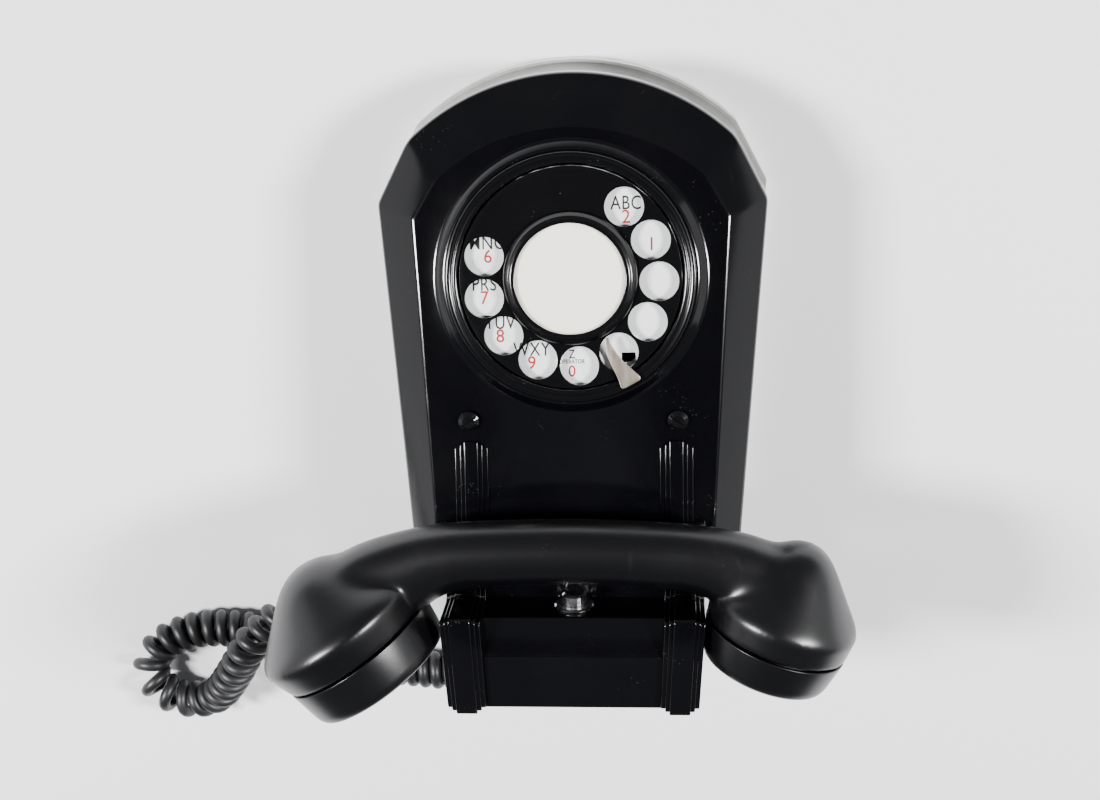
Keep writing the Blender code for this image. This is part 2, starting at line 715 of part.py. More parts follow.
def make_dial_fixed():
    """The parts of the dial that stay still: ring, enamelled plate, case, bridge and stop."""
    bottom = RING_BOTTOM
    turned(
        "dial_mount_ring",
        [
            (RING_INNER_R, RING_TOP),
            (RING_OUTER_R - RING_EDGE, RING_TOP),
            (RING_OUTER_R, RING_TOP - RING_EDGE),
            (RING_OUTER_R, bottom),
            (RING_SKIRT_R, bottom),
            (RING_SKIRT_R, -RING_SKIRT_DEPTH),
            (RING_INNER_R, -RING_SKIRT_DEPTH),
        ],
        sides=40,
        finish="black_enamel",
        parent=DIAL,
    )
    hole = SHAFT_R + RUNNING_FIT
    x, y = SLOT_R * math.cos(SLOT_ANGLE), SLOT_R * math.sin(SLOT_ANGLE)
    slot = [(x + SLOT_HALF[0] * i, y + SLOT_HALF[1] * j) for i, j in ((-1, -1), (1, -1), (1, 1), (-1, 1))]
    plate(
        "number_plate",
        [circle(0, 0, PLATE_R, 40), circle(0, 0, hole, 16), slot],
        PLATE_BOTTOM,
        PLATE_BOTTOM + PLATE_SHEET,
        finish="white_enamel",
        parent=DIAL,
    )
    inner = CASE_R - CASE_WALL
    turned(
        "dial_case",
        [
            (CASE_R, 0),
            (CASE_R, -CASE_DEPTH),
            (SHAFT_R * 0.5, -CASE_DEPTH),
            (SHAFT_R * 0.5, -CASE_DEPTH + CASE_WALL),
            (inner, -CASE_DEPTH + CASE_WALL),
            (inner, 0),
        ],
        finish="zinc_steel",
        parent=DIAL,
    )
    top = RING_TOP + GAP
    foot_r = (RING_INNER_R + RING_OUTER_R) / 2
    x, y = foot_r * math.cos(STOP_ANGLE), foot_r * math.sin(STOP_ANGLE)
    stop = [(x + dx, y + dy) for dx, dy in STOP_OUTLINE]
    plate("finger_stop", [stop], top, top + STOP_SHEET, finish="nickel", parent=DIAL)


def make_dial_bridge():
    """The plate behind the gears, on two pillars, that carries the shafts' inner ends."""
    back = -BRIDGE_DEPTH
    holes = [circle(0, 0, SHAFT_R + RUNNING_FIT, 16)]
    for angle, distance in ((IMPULSE_ANGLE, impulse_distance()), (GOVERNOR_ANGLE, governor_distance())):
        x, y = distance * math.cos(angle), distance * math.sin(angle)
        holes.append(circle(x, y, SPINDLE_R + RUNNING_FIT, 12))
    outlines = [circle(0, 0, BRIDGE_R, 32), *holes]
    bridge = plate("dial_bridge", outlines, back - BRIDGE_SHEET, back, finish="brass", parent=DIAL)
    post_at = BRIDGE_R - 0.0040
    for number, angle in enumerate((math.radians(90), math.radians(270))):
        x, y = post_at * math.cos(angle), post_at * math.sin(angle)
        low, high = back - BRIDGE_SHEET / 2, -0.0010
        post = rod(f"bridge_post_{number}", (x, y, low), (x, y, high), BRIDGE_POST_R, parent=DIAL)
        join(bridge, post)
    applied(bridge)


def impulse_distance():
    return MODULE * (MAIN_TEETH + IMPULSE_TEETH) / 2


def governor_distance():
    return MODULE * (MAIN_TEETH + GOVERNOR_TEETH) / 2


def gear_outline(teeth, tooth_at):
    """A gear's outline with plain tapered teeth, one of them centred on the angle tooth_at."""
    pitch_r = MODULE * teeth / 2
    tip_r, root_r = pitch_r + ADDENDUM, pitch_r - DEDENDUM
    tip, root = TOOTH * 0.35 / tip_r, TOOTH * 0.80 / root_r
    outline = []
    for number in range(teeth):
        middle = tooth_at + 2 * math.pi * number / teeth
        for radius, angle in ((root_r, -root), (tip_r, -tip), (tip_r, tip), (root_r, root)):
            outline.append((radius * math.cos(middle + angle), radius * math.sin(middle + angle)))
    return outline


def make_dial_wheel():
    """What turns with the dial: finger wheel, card and its ring, shaft and main gear."""
    holes = []
    for number in range(HOLES):
        angle = HOLE_FIRST - HOLE_STEP * number
        holes.append(circle(HOLE_PITCH_R * math.cos(angle), HOLE_PITCH_R * math.sin(angle), HOLE_R, 16))
    top = WHEEL_BOTTOM + WHEEL_SHEET
    plate(
        "finger_wheel",
        [circle(0, 0, WHEEL_R, 48), circle(0, 0, SHAFT_R + GAP, 16), *holes],
        WHEEL_BOTTOM,
        top,
        finish="black_enamel",
        parent=DIAL,
    )
    low, high = top + GAP, top + GAP + CARD_RING_HEIGHT
    rabbet = CARD_LIP_R + CARD_RABBET
    lip = high - 0.0005
    turned(
        "card_ring",
        [
            (CARD_LIP_R, high),
            (CARD_LIP_R + 0.0014, high),
            (CARD_RING_R, low + 0.0008),
            (CARD_RING_R, low),
            (rabbet, low),
            (rabbet, lip),
            (CARD_LIP_R, lip),
        ],
        finish="black_moulding",
        parent=DIAL,
    )
    disc = rabbet - GAP
    for name, below, finish in (("card_window", 0, "clear_sheet"), ("number_card", 1, "ivory_card")):
        upper = lip - GAP - below * (CARD_SHEET + GAP)
        edge = [(0, upper), (disc, upper), (disc, upper - CARD_SHEET), (0, upper - CARD_SHEET)]
        turned(name, edge, finish=finish, parent=DIAL)
    end = -BRIDGE_DEPTH - 0.0010
    gear_top = -GEAR_DEPTH + GEAR_SHEET
    turned(
        "dial_shaft",
        [
            (0, low + 0.0009),
            (SHAFT_HEAD_R, low + 0.0009),
            (SHAFT_HEAD_R, low),
            (SHAFT_R, low),
            (SHAFT_R, gear_top + GAP),
            (SHAFT_R - SHAFT_STEP, gear_top + GAP),
            (SHAFT_R - SHAFT_STEP, end),
            (0, end),
        ],
        sides=20,
        finish="zinc_steel",
        parent=DIAL,
    )
    plate(
        "dial_main_gear",
        [gear_outline(MAIN_TEETH, IMPULSE_ANGLE), circle(0, 0, SHAFT_R - SHAFT_STEP + GAP, 16)],
        -GEAR_DEPTH,
        gear_top,
        finish="brass",
        parent=DIAL,
    )


def make_spindle(name, teeth, angle, distance):
    """A steel spindle with its pinion, which the main gear drives."""
    centre = (distance * math.cos(angle), distance * math.sin(angle), 0)
    outline = gear_outline(teeth, angle + math.pi + math.pi / teeth)
    low, high = -GEAR_DEPTH - 0.0005, -GEAR_DEPTH + GEAR_SHEET + 0.0005
    pinion = plate(name, [outline], low, high, finish="zinc_steel", parent=DIAL, location=centre)
    end = -BRIDGE_DEPTH - 0.0010
    top = (0, 0, -0.0015)
    spindle = rod(name + "_rod", (0, 0, end), top, SPINDLE_R, sides=12, parent=DIAL, location=centre)
    join(pinion, spindle)
    return applied(pinion), centre


def make_gear_train():
    """The impulse spindle with its cam, and the governor spindle with its two weights."""
    make_spindle("impulse_pinion", IMPULSE_TEETH, IMPULSE_ANGLE, impulse_distance())
    distance = impulse_distance()
    centre = (distance * math.cos(IMPULSE_ANGLE), distance * math.sin(IMPULSE_ANGLE), 0)
    turns = [2 * math.pi * i / 24 for i in range(24)]
    reach = [CAM_R + CAM_LIFT * math.cos(2 * a) for a in turns]
    lobes = [(r * math.cos(a), r * math.sin(a)) for r, a in zip(reach, turns)]
    bore = SPINDLE_R + GAP
    plate(
        "impulse_cam",
        [lobes, circle(0, 0, bore, 12)],
        -0.0140,
        -0.0120,
        finish="brown_board",
        parent=DIAL,
        location=centre,
    )
    _, centre = make_spindle("governor_spindle", GOVERNOR_TEETH, GOVERNOR_ANGLE, governor_distance())
    bar = [(-0.0060, -0.0018), (0.0060, -0.0018), (0.0060, 0.0018), (-0.0060, 0.0018)]
    plate(
        "governor_weights",
        [bar, circle(0, 0, bore, 12)],
        -0.0190,
        -0.0160,
        finish="brass",
        parent=DIAL,
        location=centre,
    )
    turned(
        "governor_cup",
        [
            (CUP_R, CUP_TOP),
            (CUP_R, -BRIDGE_DEPTH + GAP),
            (SPINDLE_R + 0.0010, -BRIDGE_DEPTH + GAP),
            (SPINDLE_R + 0.0010, -BRIDGE_DEPTH + GAP + CUP_SHEET),
            (CUP_R - CUP_SHEET, -BRIDGE_DEPTH + GAP + CUP_SHEET),
            (CUP_R - CUP_SHEET, CUP_TOP),
        ],
        sides=24,
        finish="brass",
        parent=DIAL,
        location=centre,
    )
    turned(
        "mainspring_drum",
        [
            (SHAFT_R + RUNNING_FIT, DRUM_TOP),
            (DRUM_R, DRUM_TOP),
            (DRUM_R, -BRIDGE_DEPTH + GAP),
            (SHAFT_R + RUNNING_FIT, -BRIDGE_DEPTH + GAP),
        ],
        sides=24,
        finish="zinc_steel",
        parent=DIAL,
    )


def make_impulse_contacts():
    """A pile of contact springs and their spacers, on the bridge beside the cam."""
    distance = impulse_distance()
    x, y = distance * math.cos(IMPULSE_ANGLE), distance * math.sin(IMPULSE_ANGLE)
    left, low = x - 0.0035, y + 0.0085
    pile = box(
        "impulse_contacts",
        (left, low + 0.0080, -BRIDGE_DEPTH + GAP),
        (left + 0.0085, low + 0.0150, DRUM_TOP),
        finish="brown_board",
        parent=DIAL,
    )
    for leaf in range(3):
        at = left + 0.0012 + 0.0025 * leaf
        strip = box(
            f"contact_leaf_{leaf}",
            (at, low - 0.0005, -0.0150 + 0.0006 * leaf),
            (at + 0.0005, low + 0.0100, -0.0115),
            parent=DIAL,
        )
        join(pile, strip)
    applied(pile)


# ---------------------------------------------------------------- ringer and circuit


def make_ringer():
    """The bell motor: frame with cores and gong posts, two coils, two gongs and a clapper."""
    low = SHEET + GAP
    frame = plate(
        "ringer_frame",
        [
            [
                (-0.0170, -0.0260),
                (-0.0170, -0.0600),
                (-0.0300, -0.0700),
                (-0.0300, -0.0820),
                (0.0300, -0.0820),
                (0.0300, -0.0700),
                (0.0170, -0.0600),
                (0.0170, -0.0260),
            ]
        ],
        low,
        low + FRAME_SHEET,
        finish="zinc_steel",
    )
    heel = box("ringer_heel", (-0.0170, -0.0280, low + 0.0004), (0.0170, -0.0262, 0.0165))
    join(frame, heel)
    pole = CLAPPER_Y + 0.0032
    bore = GONG_SCREW_R + GAP
    for side in (-1, 1):
        name = "left" if side < 0 else "right"
        x = side * CORE_X
        core = rod(f"core_{name}", (x, -0.0270, CLAPPER_HEIGHT), (x, pole, CLAPPER_HEIGHT), CORE_R, sides=12)
        join(frame, core)
        outer = COIL_R + COIL_FLANGE
        hole = CORE_R + GAP
        turned(
            f"ringer_coil_{name}",
            [
                (hole, 0),
                (outer, 0),
                (outer, -FLANGE_SHEET),
                (COIL_R, -FLANGE_SHEET),
                (COIL_R, -COIL_LENGTH + FLANGE_SHEET),
                (outer, -COIL_LENGTH + FLANGE_SHEET),
                (outer, -COIL_LENGTH),
                (hole, -COIL_LENGTH),
            ],
            sides=20,
            finish="copper_winding",
            location=(x, COIL_BACK, CLAPPER_HEIGHT),
            rotation=(math.radians(-90), 0, 0),
        )
        gong_x = side * GONG_X
        under = GONG_TOP - GONG_WALL - GAP
        post = turned(
            f"gong_post_{name}",
            [(bore, under), (0.0032, under), (0.0032, low + 0.0008), (bore, low + 0.0008)],
            sides=SMALL_SIDES,
            location=(gong_x, GONG_Y, 0),
        )
        join(frame, post)
        wall, top = GONG_WALL, GONG_TOP
        rim = top - GONG_HEIGHT
        turned(
            f"gong_{name}",
            [
                (bore, top),
                (GONG_R * 0.62, top),
                (GONG_R * 0.86, top - 0.0014),
                (GONG_R * 0.97, top - 0.0042),
                (GONG_R, rim),
                (GONG_R - wall, rim),
                (GONG_R * 0.97 - wall, top - 0.0048),
                (GONG_R * 0.86 - wall * 0.8, top - 0.0014 - wall * 0.7),
                (GONG_R * 0.62, top - wall),
                (bore, top - wall),
            ],
            sides=28,
            finish="brass",
            location=(gong_x, GONG_Y, 0),
        )
        turned(
            f"gong_screw_{name}",
            [
                (0, top + 0.0022),
                (0.0030, top + 0.0018),
                (0.0034, top + GAP),
                (GONG_SCREW_R, top + GAP),
                (GONG_SCREW_R, 0.0080),
                (0, 0.0080),
            ],
            sides=SMALL_SIDES,
            finish="zinc_steel",
            location=(gong_x, GONG_Y, 0),
        )
    pin = rod("clapper_pin", (0, CLAPPER_Y, low + 0.0008), (0, CLAPPER_Y, 0.0165), CLAPPER_PIN_R, sides=12)
    join(frame, pin)
    applied(frame)


def make_clapper():
    """The armature bar on its pin, with a wire and a ball between the gongs."""
    place = {"location": (0, CLAPPER_Y, CLAPPER_HEIGHT)}
    ends = ((-0.0165, -0.0014, -0.0035), (0.0165, 0.0014, 0.0030))
    bar = box("bell_clapper", *ends, finish="zinc_steel", **place)
    join(bar, rod("clapper_hub", (0, 0, -0.0037), (0, 0, 0.0032), 0.0034, sides=20, **place))
    cut(bar, rod("clapper_bore", (0, 0, -0.01), (0, 0, 0.01), CLAPPER_PIN_R + GAP, sides=12, **place))
    reach = GONG_Y - CLAPPER_Y - 0.0015
    stem = rod("clapper_stem", (0, -0.0030, 0), (0, reach, 0), 0.0008, sides=8, **place)
    bm = bmesh.new()
    bmesh.ops.create_uvsphere(bm, u_segments=12, v_segments=8, radius=CLAPPER_BALL_R)
    ball = link("clapper_ball", mesh_from(bm, "clapper_ball"), location=(0, GONG_Y, CLAPPER_HEIGHT))
    lug = box("clapper_lug", (-0.0016, -0.0060, -0.0018), (0.0016, -0.0026, 0.0018), **place)
    join(bar, lug, stem, ball)
    applied(bar)


def make_circuit():
    """The parts of the circuit that stand on the base, under the dial."""
    low = SHEET + GAP
    box("condenser", (-0.0460, 0.0120, low), (-0.0060, 0.0340, PART_TOP), finish="foil_can")
    near = ((0.0080, 0.0130, low + 0.0006), (0.0460, 0.0150, PART_TOP))
    coil = box("induction_coil", *near, finish="copper_winding")
    far = box("coil_cheek", (0.0080, 0.0330, low + 0.0006), (0.0460, 0.0350, PART_TOP))
    winding = rod("coil_winding", (0.0270, 0.0140, 0.0086), (0.0270, 0.0340, 0.0086), 0.0060, sides=20)
    foot = box("coil_foot", (0.0100, 0.0140, low), (0.0440, 0.0340, low + 0.0014))
    join(coil, far, winding, foot)
    applied(coil)
    strip = box("terminal_strip", (-0.0380, -0.0200, low), (0.0380, -0.0060, STRIP_TOP), finish="brown_board")
    for number in range(TERMINALS):
        x = TERMINAL_PITCH * (number - (TERMINALS - 1) / 2)
        deep, above = (x, TERMINAL_Y, STRIP_TOP - 0.0040), (x, TERMINAL_Y, STRIP_TOP + 0.0020)
        hole = rod(f"terminal_hole_{number}", deep, above, TERMINAL_R + GAP, sides=12)
        cut(strip, hole)
        turned(
            f"terminal_screw_{number + 1}",
            [
                (0, STRIP_TOP + 0.0020),
                (TERMINAL_R + 0.0010, STRIP_TOP + 0.0020),
                (TERMINAL_R + 0.0014, STRIP_TOP + GAP),
                (TERMINAL_R, STRIP_TOP + GAP),
                (TERMINAL_R, STRIP_TOP - 0.0035),
                (0, STRIP_TOP - 0.0035),
            ],
            sides=12,
            finish="brass",
            location=(x, TERMINAL_Y, 0),
        )
    applied(strip)


# ---------------------------------------------------------------- hook switch


def lever_face():
    """Where the plunger's inner end meets the lever, measured along Y."""
    return SHELF_BACK[0] - PLUNGER_IN - GAP


def make_hook_switch():
    """Plunger in its bush, lever on its pivot, bracket and contact springs."""
    height, shelf = PLUNGER_HEIGHT, SHELF_BACK[0]
    # The plunger's own Z axis points out of the shelf, along +Y.
    place = {"location": (0, shelf, height), "rotation": (math.radians(-90), 0, 0)}
    turned(
        "hook_plunger",
        [
            (0, PLUNGER_OUT),
            (PLUNGER_R - 0.0008, PLUNGER_OUT),
            (PLUNGER_R, PLUNGER_OUT - 0.0008),
            (PLUNGER_R, -PLUNGER_IN + PLUNGER_TRAVEL - 0.0010),
            (PLUNGER_TIP_R, -PLUNGER_IN + PLUNGER_TRAVEL - 0.0020),
            (PLUNGER_TIP_R, -PLUNGER_IN),
            (0, -PLUNGER_IN),
        ],
        sides=20,
        finish="chrome",
        **place,
    )
    inner = PLUNGER_R + RUNNING_FIT
    outer = inner + BUSH_WALL
    turned(
        "plunger_bush",
        [
            (inner, 0.0016),
            (outer + 0.0006, 0.0016),
            (outer + 0.0012, 0.0010),
            (outer + 0.0012, 0.0008),
            (outer, 0.0008),
            (outer, -0.0060),
            (inner, -0.0060),
        ],
        sides=20,
        finish="chrome",
        **place,
    )
    face = lever_face()
    pivot = (0, face - LEVER_SHEET - 0.0010, LEVER_PIVOT_HEIGHT)
    half = LEVER_WIDTH / 2
    lever = box(
        "hookswitch_lever",
        (-half, face - LEVER_SHEET, LEVER_PIVOT_HEIGHT - 0.0015),
        (half, face, height + 0.0040),
        finish="zinc_steel",
    )
    lever.data.transform(Matrix.Translation(-Vector(pivot)))
    lever.location = pivot
    hub = rod("lever_hub", (-half, 0, 0), (half, 0, 0), LEVER_HUB_R, location=pivot)
    bore = rod("lever_bore", (-half * 2, 0, 0), (half * 2, 0, 0), LEVER_PIN_R + GAP, location=pivot)
    join(lever, hub)
    cut(lever, bore)
    applied(lever)
    back = foot_at(0) + WALL + 0.0022
    low = SHEET + GAP
    wide = BRACKET_HALF
    upright = ((-wide, back, low), (wide, back + BRACKET_SHEET, BRACKET_HEIGHT))
    bracket = box("hookswitch_bracket", *upright, finish="zinc_steel")
    sole = box("bracket_sole", (-wide, back + BRACKET_SHEET / 2, low), (wide, -0.1160, low + BRACKET_SHEET))
    ear = half + GAP * 2
    for side in (-1, 1):
        low_x, high_x = sorted((side * ear, side * (ear + 0.0014)))
        cheek = box(
            f"bracket_ear_{side + 1}",
            (low_x, back + 0.0008, LEVER_PIVOT_HEIGHT - 0.0040),
            (high_x, pivot[1] + 0.0035, LEVER_PIVOT_HEIGHT + 0.0040),
        )
        join(bracket, cheek)
    pin = rod("lever_pin", (-ear - 0.0010, *pivot[1:]), (ear + 0.0010, *pivot[1:]), LEVER_PIN_R)
    join(bracket, sole, pin)
    applied(bracket)
    pile = box(
        "hookswitch_contacts",
        (-0.0090, back + BRACKET_SHEET + GAP, 0.0080),
        (0.0090, back + 0.0062, 0.0240),
        finish="brown_board",
    )
    for leaf in range(2):
        x = -0.0070 + 0.0090 * leaf
        strip = box(f"hook_leaf_{leaf}", (x, back + 0.0030, 0.0230), (x + 0.0050, back + 0.0035, 0.0330))
        join(pile, strip)
    applied(pile)


# ---------------------------------------------------------------- handset


def cup_axes(face, turn):
    """The matrix whose Z axis runs from the middle of a cup's face towards its back."""
    back = Vector((-math.sin(turn), math.cos(turn), 0))
    side = Vector((math.cos(turn), math.sin(turn), 0))
    matrix = Matrix((side, back.cross(side), back)).transposed().to_4x4()
    return Matrix.Translation((*face, HANDSET_HEIGHT)) @ matrix


def cup_shell(name, face, turn, seam, seam_r, ridge, ridge_r):
    """The hollow end of the handle, behind the seam of its cap."""
    bore = seam_r - CUP_WALL
    floor = ridge + CUP_FLOOR
    shell = turned(
        name,
        [
            (0, CUP_DEPTH),
            (ridge_r * 0.16, CUP_DEPTH - 0.0006),
            (ridge_r * 0.34, CUP_DEPTH - 0.0036),
            (ridge_r * 0.93, ridge + 0.0042),
            (ridge_r * 0.99, ridge + 0.0016),
            (ridge_r, ridge),
            (ridge_r * 0.985, ridge - 0.0014),
            (seam_r, seam + GAP),
            (bore, seam + GAP),
            (bore, floor),
            (0, floor),
        ],
        sides=28,
    )
    shell.matrix_world = cup_axes(face, turn)
    return shell


def grip_rings():
    """Oval sections square to the handle's middle line."""
    rings = []
    for i, (x, y, half) in enumerate(GRIP):
        before, after = GRIP[max(0, i - 1)], GRIP[min(len(GRIP) - 1, i + 1)]
        along = Vector((after[0] - before[0], after[1] - before[1], 0)).normalized()
        side = Vector((-along.y, along.x, 0))
        thick = GRIP_BACK + (half - GRIP[GRIP_MIDDLE][2]) * 0.9
        ring = []
        for k in range(20):
            angle = 2 * math.pi * k / 20
            middle = Vector((x, y, HANDSET_HEIGHT))
            ring.append(middle + side * half * math.cos(angle) + UP * thick * math.sin(angle))
        rings.append(ring)
    return rings


def make_handset():
    handle = loft("handset_handle", grip_rings(), finish="black_moulding")
    mouth_back = (MOUTH_SEAM, MOUTH_SEAM_R, MOUTH_RIDGE, MOUTH_RIDGE_R)
    mouth = cup_shell("mouth_cup", MOUTH_FACE, MOUTH_TURN, *mouth_back)
    ear = cup_shell("ear_cup", EAR_FACE, EAR_TURN, EAR_SEAM, EAR_SEAM_R, EAR_RIDGE, EAR_RIDGE_R)
    join(handle, mouth, ear)
    for name, face, turn, seam, seam_r, ridge in (
        ("mouth", MOUTH_FACE, MOUTH_TURN, MOUTH_SEAM, MOUTH_SEAM_R, MOUTH_RIDGE),
        ("ear", EAR_FACE, EAR_TURN, EAR_SEAM, EAR_SEAM_R, EAR_RIDGE),
    ):
        front, floor = (0, 0, seam - 0.006), (0, 0, ridge + CUP_FLOOR - 0.0001)
        bore = rod(f"{name}_bore", front, floor, seam_r - CUP_WALL + 0.00002, sides=28)
        bore.matrix_world = cup_axes(face, turn)
        cut(handle, bore)
    start, aim = cord_entry()
    socket = rod("cord_socket", start - aim * 0.0040, start + aim * 0.0120, SOCKET_R + GAP)
    cut(handle, socket)
    applied(handle)
    mouth_sizes = (MOUTH_SEAM, MOUTH_SEAM_R, MOUTH_RIM_R, MOUTH_HOLE_RING)
    make_cap("transmitter_cap", MOUTH_FACE, MOUTH_TURN, *mouth_sizes)
    make_cap("receiver_cap", EAR_FACE, EAR_TURN, EAR_SEAM, EAR_SEAM_R, EAR_RIM_R, EAR_HOLE_RING)
    for name, face, turn, seam, seam_r, rim_r, finish in (
        ("transmitter_capsule", MOUTH_FACE, MOUTH_TURN, MOUTH_SEAM, MOUTH_SEAM_R, MOUTH_RIM_R, "brass"),
        ("receiver_capsule", EAR_FACE, EAR_TURN, EAR_SEAM, EAR_SEAM_R, EAR_RIM_R, "zinc_steel"),
    ):
        radius, front = seam_r - CUP_WALL - 0.0020, rim_r - CUP_WALL - 0.0012
        low = CAP_FACE + GAP * 2
        high = seam + CAPSULE_DEPTH
        capsule = turned(
            name,
            [
                (0, high),
                (radius * 0.75, high),
                (radius, high - 0.0030),
                (radius, seam),
                (front, low + 0.0010),
                (front - 0.0015, low),
                (0, low),
            ],
            sides=28,
            finish=finish,
        )
        capsule.matrix_world = cup_axes(face, turn)


def make_cap(name, face, turn, seam, seam_r, rim_r, hole_ring):
    """A screwed cap with sound holes in its face."""
    inner = seam_r - CUP_WALL - 0.0008
    inner_low = rim_r - CUP_WALL
    cap = turned(
        name,
        [
            (seam_r, seam),
            (rim_r + 0.0009, 0.0024),
            (rim_r - 0.0004, 0.0004),
            (rim_r - 0.0028, 0),
            (CAP_EYE_R, 0.0004),
            (CAP_EYE_R, CAP_FACE),
            (inner_low, CAP_FACE),
            (inner, seam),
        ],
        sides=28,
        finish="black_moulding",
    )
    cap.matrix_world = cup_axes(face, turn)
    for number in range(SOUND_HOLES):
        angle = 2 * math.pi * number / SOUND_HOLES
        x, y = hole_ring * math.cos(angle), hole_ring * math.sin(angle)
        hole = rod(f"{name}_hole_{number}", (x, y, -0.002), (x, y, CAP_FACE + 0.002), SOUND_HOLE_R, sides=8)
        hole.matrix_world = cup_axes(face, turn)
        cut(cap, hole)
    applied(cap)


# ---------------------------------------------------------------- cord


def cord_entry():
    """Where the cord enters the mouth end of the handset, and the direction out of it."""
    axes = cup_axes(MOUTH_FACE, MOUTH_TURN)
    side, back = axes.col[0].to_3d(), axes.col[2].to_3d()
    outward = (side * ENTRY_LEAN - UP).normalized()
    start = axes.to_translation() + back * (MOUTH_RIDGE + ENTRY_DEPTH)
    start += outward * (MOUTH_RIDGE_R * ENTRY_REACH)
    aim = (outward - back * 0.17).normalized()
    return start, aim


def make_grommets():
    """Rubber sleeves that hold the cord in the foot of the body and in the handset."""
    x, z = CORD_EXIT
    wall = foot_at(z)
    turned(
        "cord_grommet",
        [
            (0, GROMMET_LENGTH),
            (SLEEVE_R, GROMMET_LENGTH),
            (SLEEVE_R + 0.0010, 0.0024),
            (NECK_R + 0.0014, 0.0018),
            (NECK_R + 0.0014, GAP * 2),
            (NECK_R, GAP * 2),
            (NECK_R, -WALL - GAP * 2),
            (NECK_R + 0.0010, -WALL - GAP * 2),
            (NECK_R + 0.0010, -WALL - 0.0018),
            (0, -WALL - 0.0018),
        ],
        sides=SMALL_SIDES,
        finish="black_rubber",
        location=(x, wall, z),
        rotation=(math.radians(90), 0, 0),
    )
    start, aim = cord_entry()
    sleeve = turned(
        "handset_grommet",
        [
            (0, SOCKET_REACH),
            (CORD_R + 0.0004, SOCKET_REACH),
            (SOCKET_R, 0.0040),
            (SOCKET_R, -0.0036),
            (0, -0.0036),
        ],
        sides=SMALL_SIDES,
        finish="black_rubber",
    )
    sleeve.matrix_world = Matrix.Translation(start) @ UP.rotation_difference(aim).to_matrix().to_4x4()


def make_cord():
    """The curly cord as one fat tube, with a short straight tail at each end."""
    x, z = CORD_EXIT
    mouth = (x, foot_at(z) - GROMMET_LENGTH - GAP, z)
    first, second = Vector(CURL_ROUTE[0]), Vector(CURL_ROUTE[1])
    heading = (second - first).normalized()
    end = first - heading * (GAP * 2)
    route = [mouth, *CORD_TAIL, end - heading * 0.0025, end]
    wire("cord_tail_phone", smooth_route(route, 0.0045), CORD_R, finish="black_rubber")
    route = smooth_route(CURL_ROUTE, 0.0125)
    wire("curly_cord", route, CURL_R, finish="black_rubber")
    start, aim = cord_entry()
    last = Vector(CURL_ROUTE[-1])
    heading = (last - Vector(CURL_ROUTE[-2])).normalized()
    first = last + heading * (GAP * 2)
    end = start + aim * (SOCKET_REACH + 2 * GAP)
    route = [first, first + heading * 0.004, end + aim * 0.006, end]
    wire("cord_tail_handset", smooth_route(route, 0.0040), CORD_R, finish="black_rubber")


clear_scene()
PARTS = new_collection("rotary_wall_phone")
CUTTERS = new_collection("cutters")
DIAL = bpy.data.objects.new("dial_axis", None)
DIAL.location = (0, 0, FACE_HEIGHT)
DIAL.rotation_euler = (-FACE_TILT, 0, 0)
PARTS.objects.link(DIAL)

make_base_plate()
make_housing()
make_cover_fasteners()
make_dial_fixed()
make_dial_bridge()
make_dial_wheel()
make_gear_train()
make_impulse_contacts()
make_ringer()
make_clapper()
make_circuit()
make_hook_switch()
make_handset()
make_grommets()
make_cord()
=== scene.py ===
import json
import math

import bmesh
import bpy
import numpy as np
from mathutils import Matrix, Vector


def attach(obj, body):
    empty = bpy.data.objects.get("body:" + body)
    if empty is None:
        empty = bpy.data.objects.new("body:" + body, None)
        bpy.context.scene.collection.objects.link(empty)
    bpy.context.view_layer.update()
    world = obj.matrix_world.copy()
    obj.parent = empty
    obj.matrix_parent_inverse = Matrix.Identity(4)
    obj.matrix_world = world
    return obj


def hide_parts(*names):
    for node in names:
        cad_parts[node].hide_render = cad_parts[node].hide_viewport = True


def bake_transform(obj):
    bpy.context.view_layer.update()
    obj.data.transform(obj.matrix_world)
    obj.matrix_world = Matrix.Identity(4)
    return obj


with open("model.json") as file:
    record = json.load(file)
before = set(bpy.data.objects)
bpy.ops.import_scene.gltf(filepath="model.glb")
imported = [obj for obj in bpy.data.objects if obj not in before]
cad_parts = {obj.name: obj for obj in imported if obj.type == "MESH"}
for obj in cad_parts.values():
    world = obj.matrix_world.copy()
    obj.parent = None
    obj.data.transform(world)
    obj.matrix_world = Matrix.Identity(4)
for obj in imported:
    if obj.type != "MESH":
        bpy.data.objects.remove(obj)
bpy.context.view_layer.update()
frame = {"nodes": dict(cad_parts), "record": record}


# Camera, table and lights. The telephone lies on its back on a white paper-topped table. On each
# side stand a small soft light, high up, and a long white screen, low down. An arched black felt
# card hangs over the camera and keeps the glossy moulding dark.

tilt, swing, roll = math.radians(17.3), math.radians(4.04), math.radians(-0.28)
camera_place = (0.0362, 0.1433, 0.6571)
lean = Matrix(
    (
        (1, 0, 0),
        (0, math.cos(tilt), math.sin(tilt)),
        (0, -math.sin(tilt), math.cos(tilt)),
    )
)
camera_data = bpy.data.cameras.new("studio_camera")
camera_data.lens = 58.9
camera_data.sensor_width = 36
camera_data.clip_start = 0.01
camera = bpy.data.objects.new("studio_camera", camera_data)
bpy.context.scene.collection.objects.link(camera)
turn = lean @ Matrix.Rotation(swing, 3, "Y") @ Matrix.Rotation(roll, 3, "Z")
camera.matrix_world = Matrix.Translation(camera_place) @ turn.to_4x4()
bpy.context.scene.camera = camera


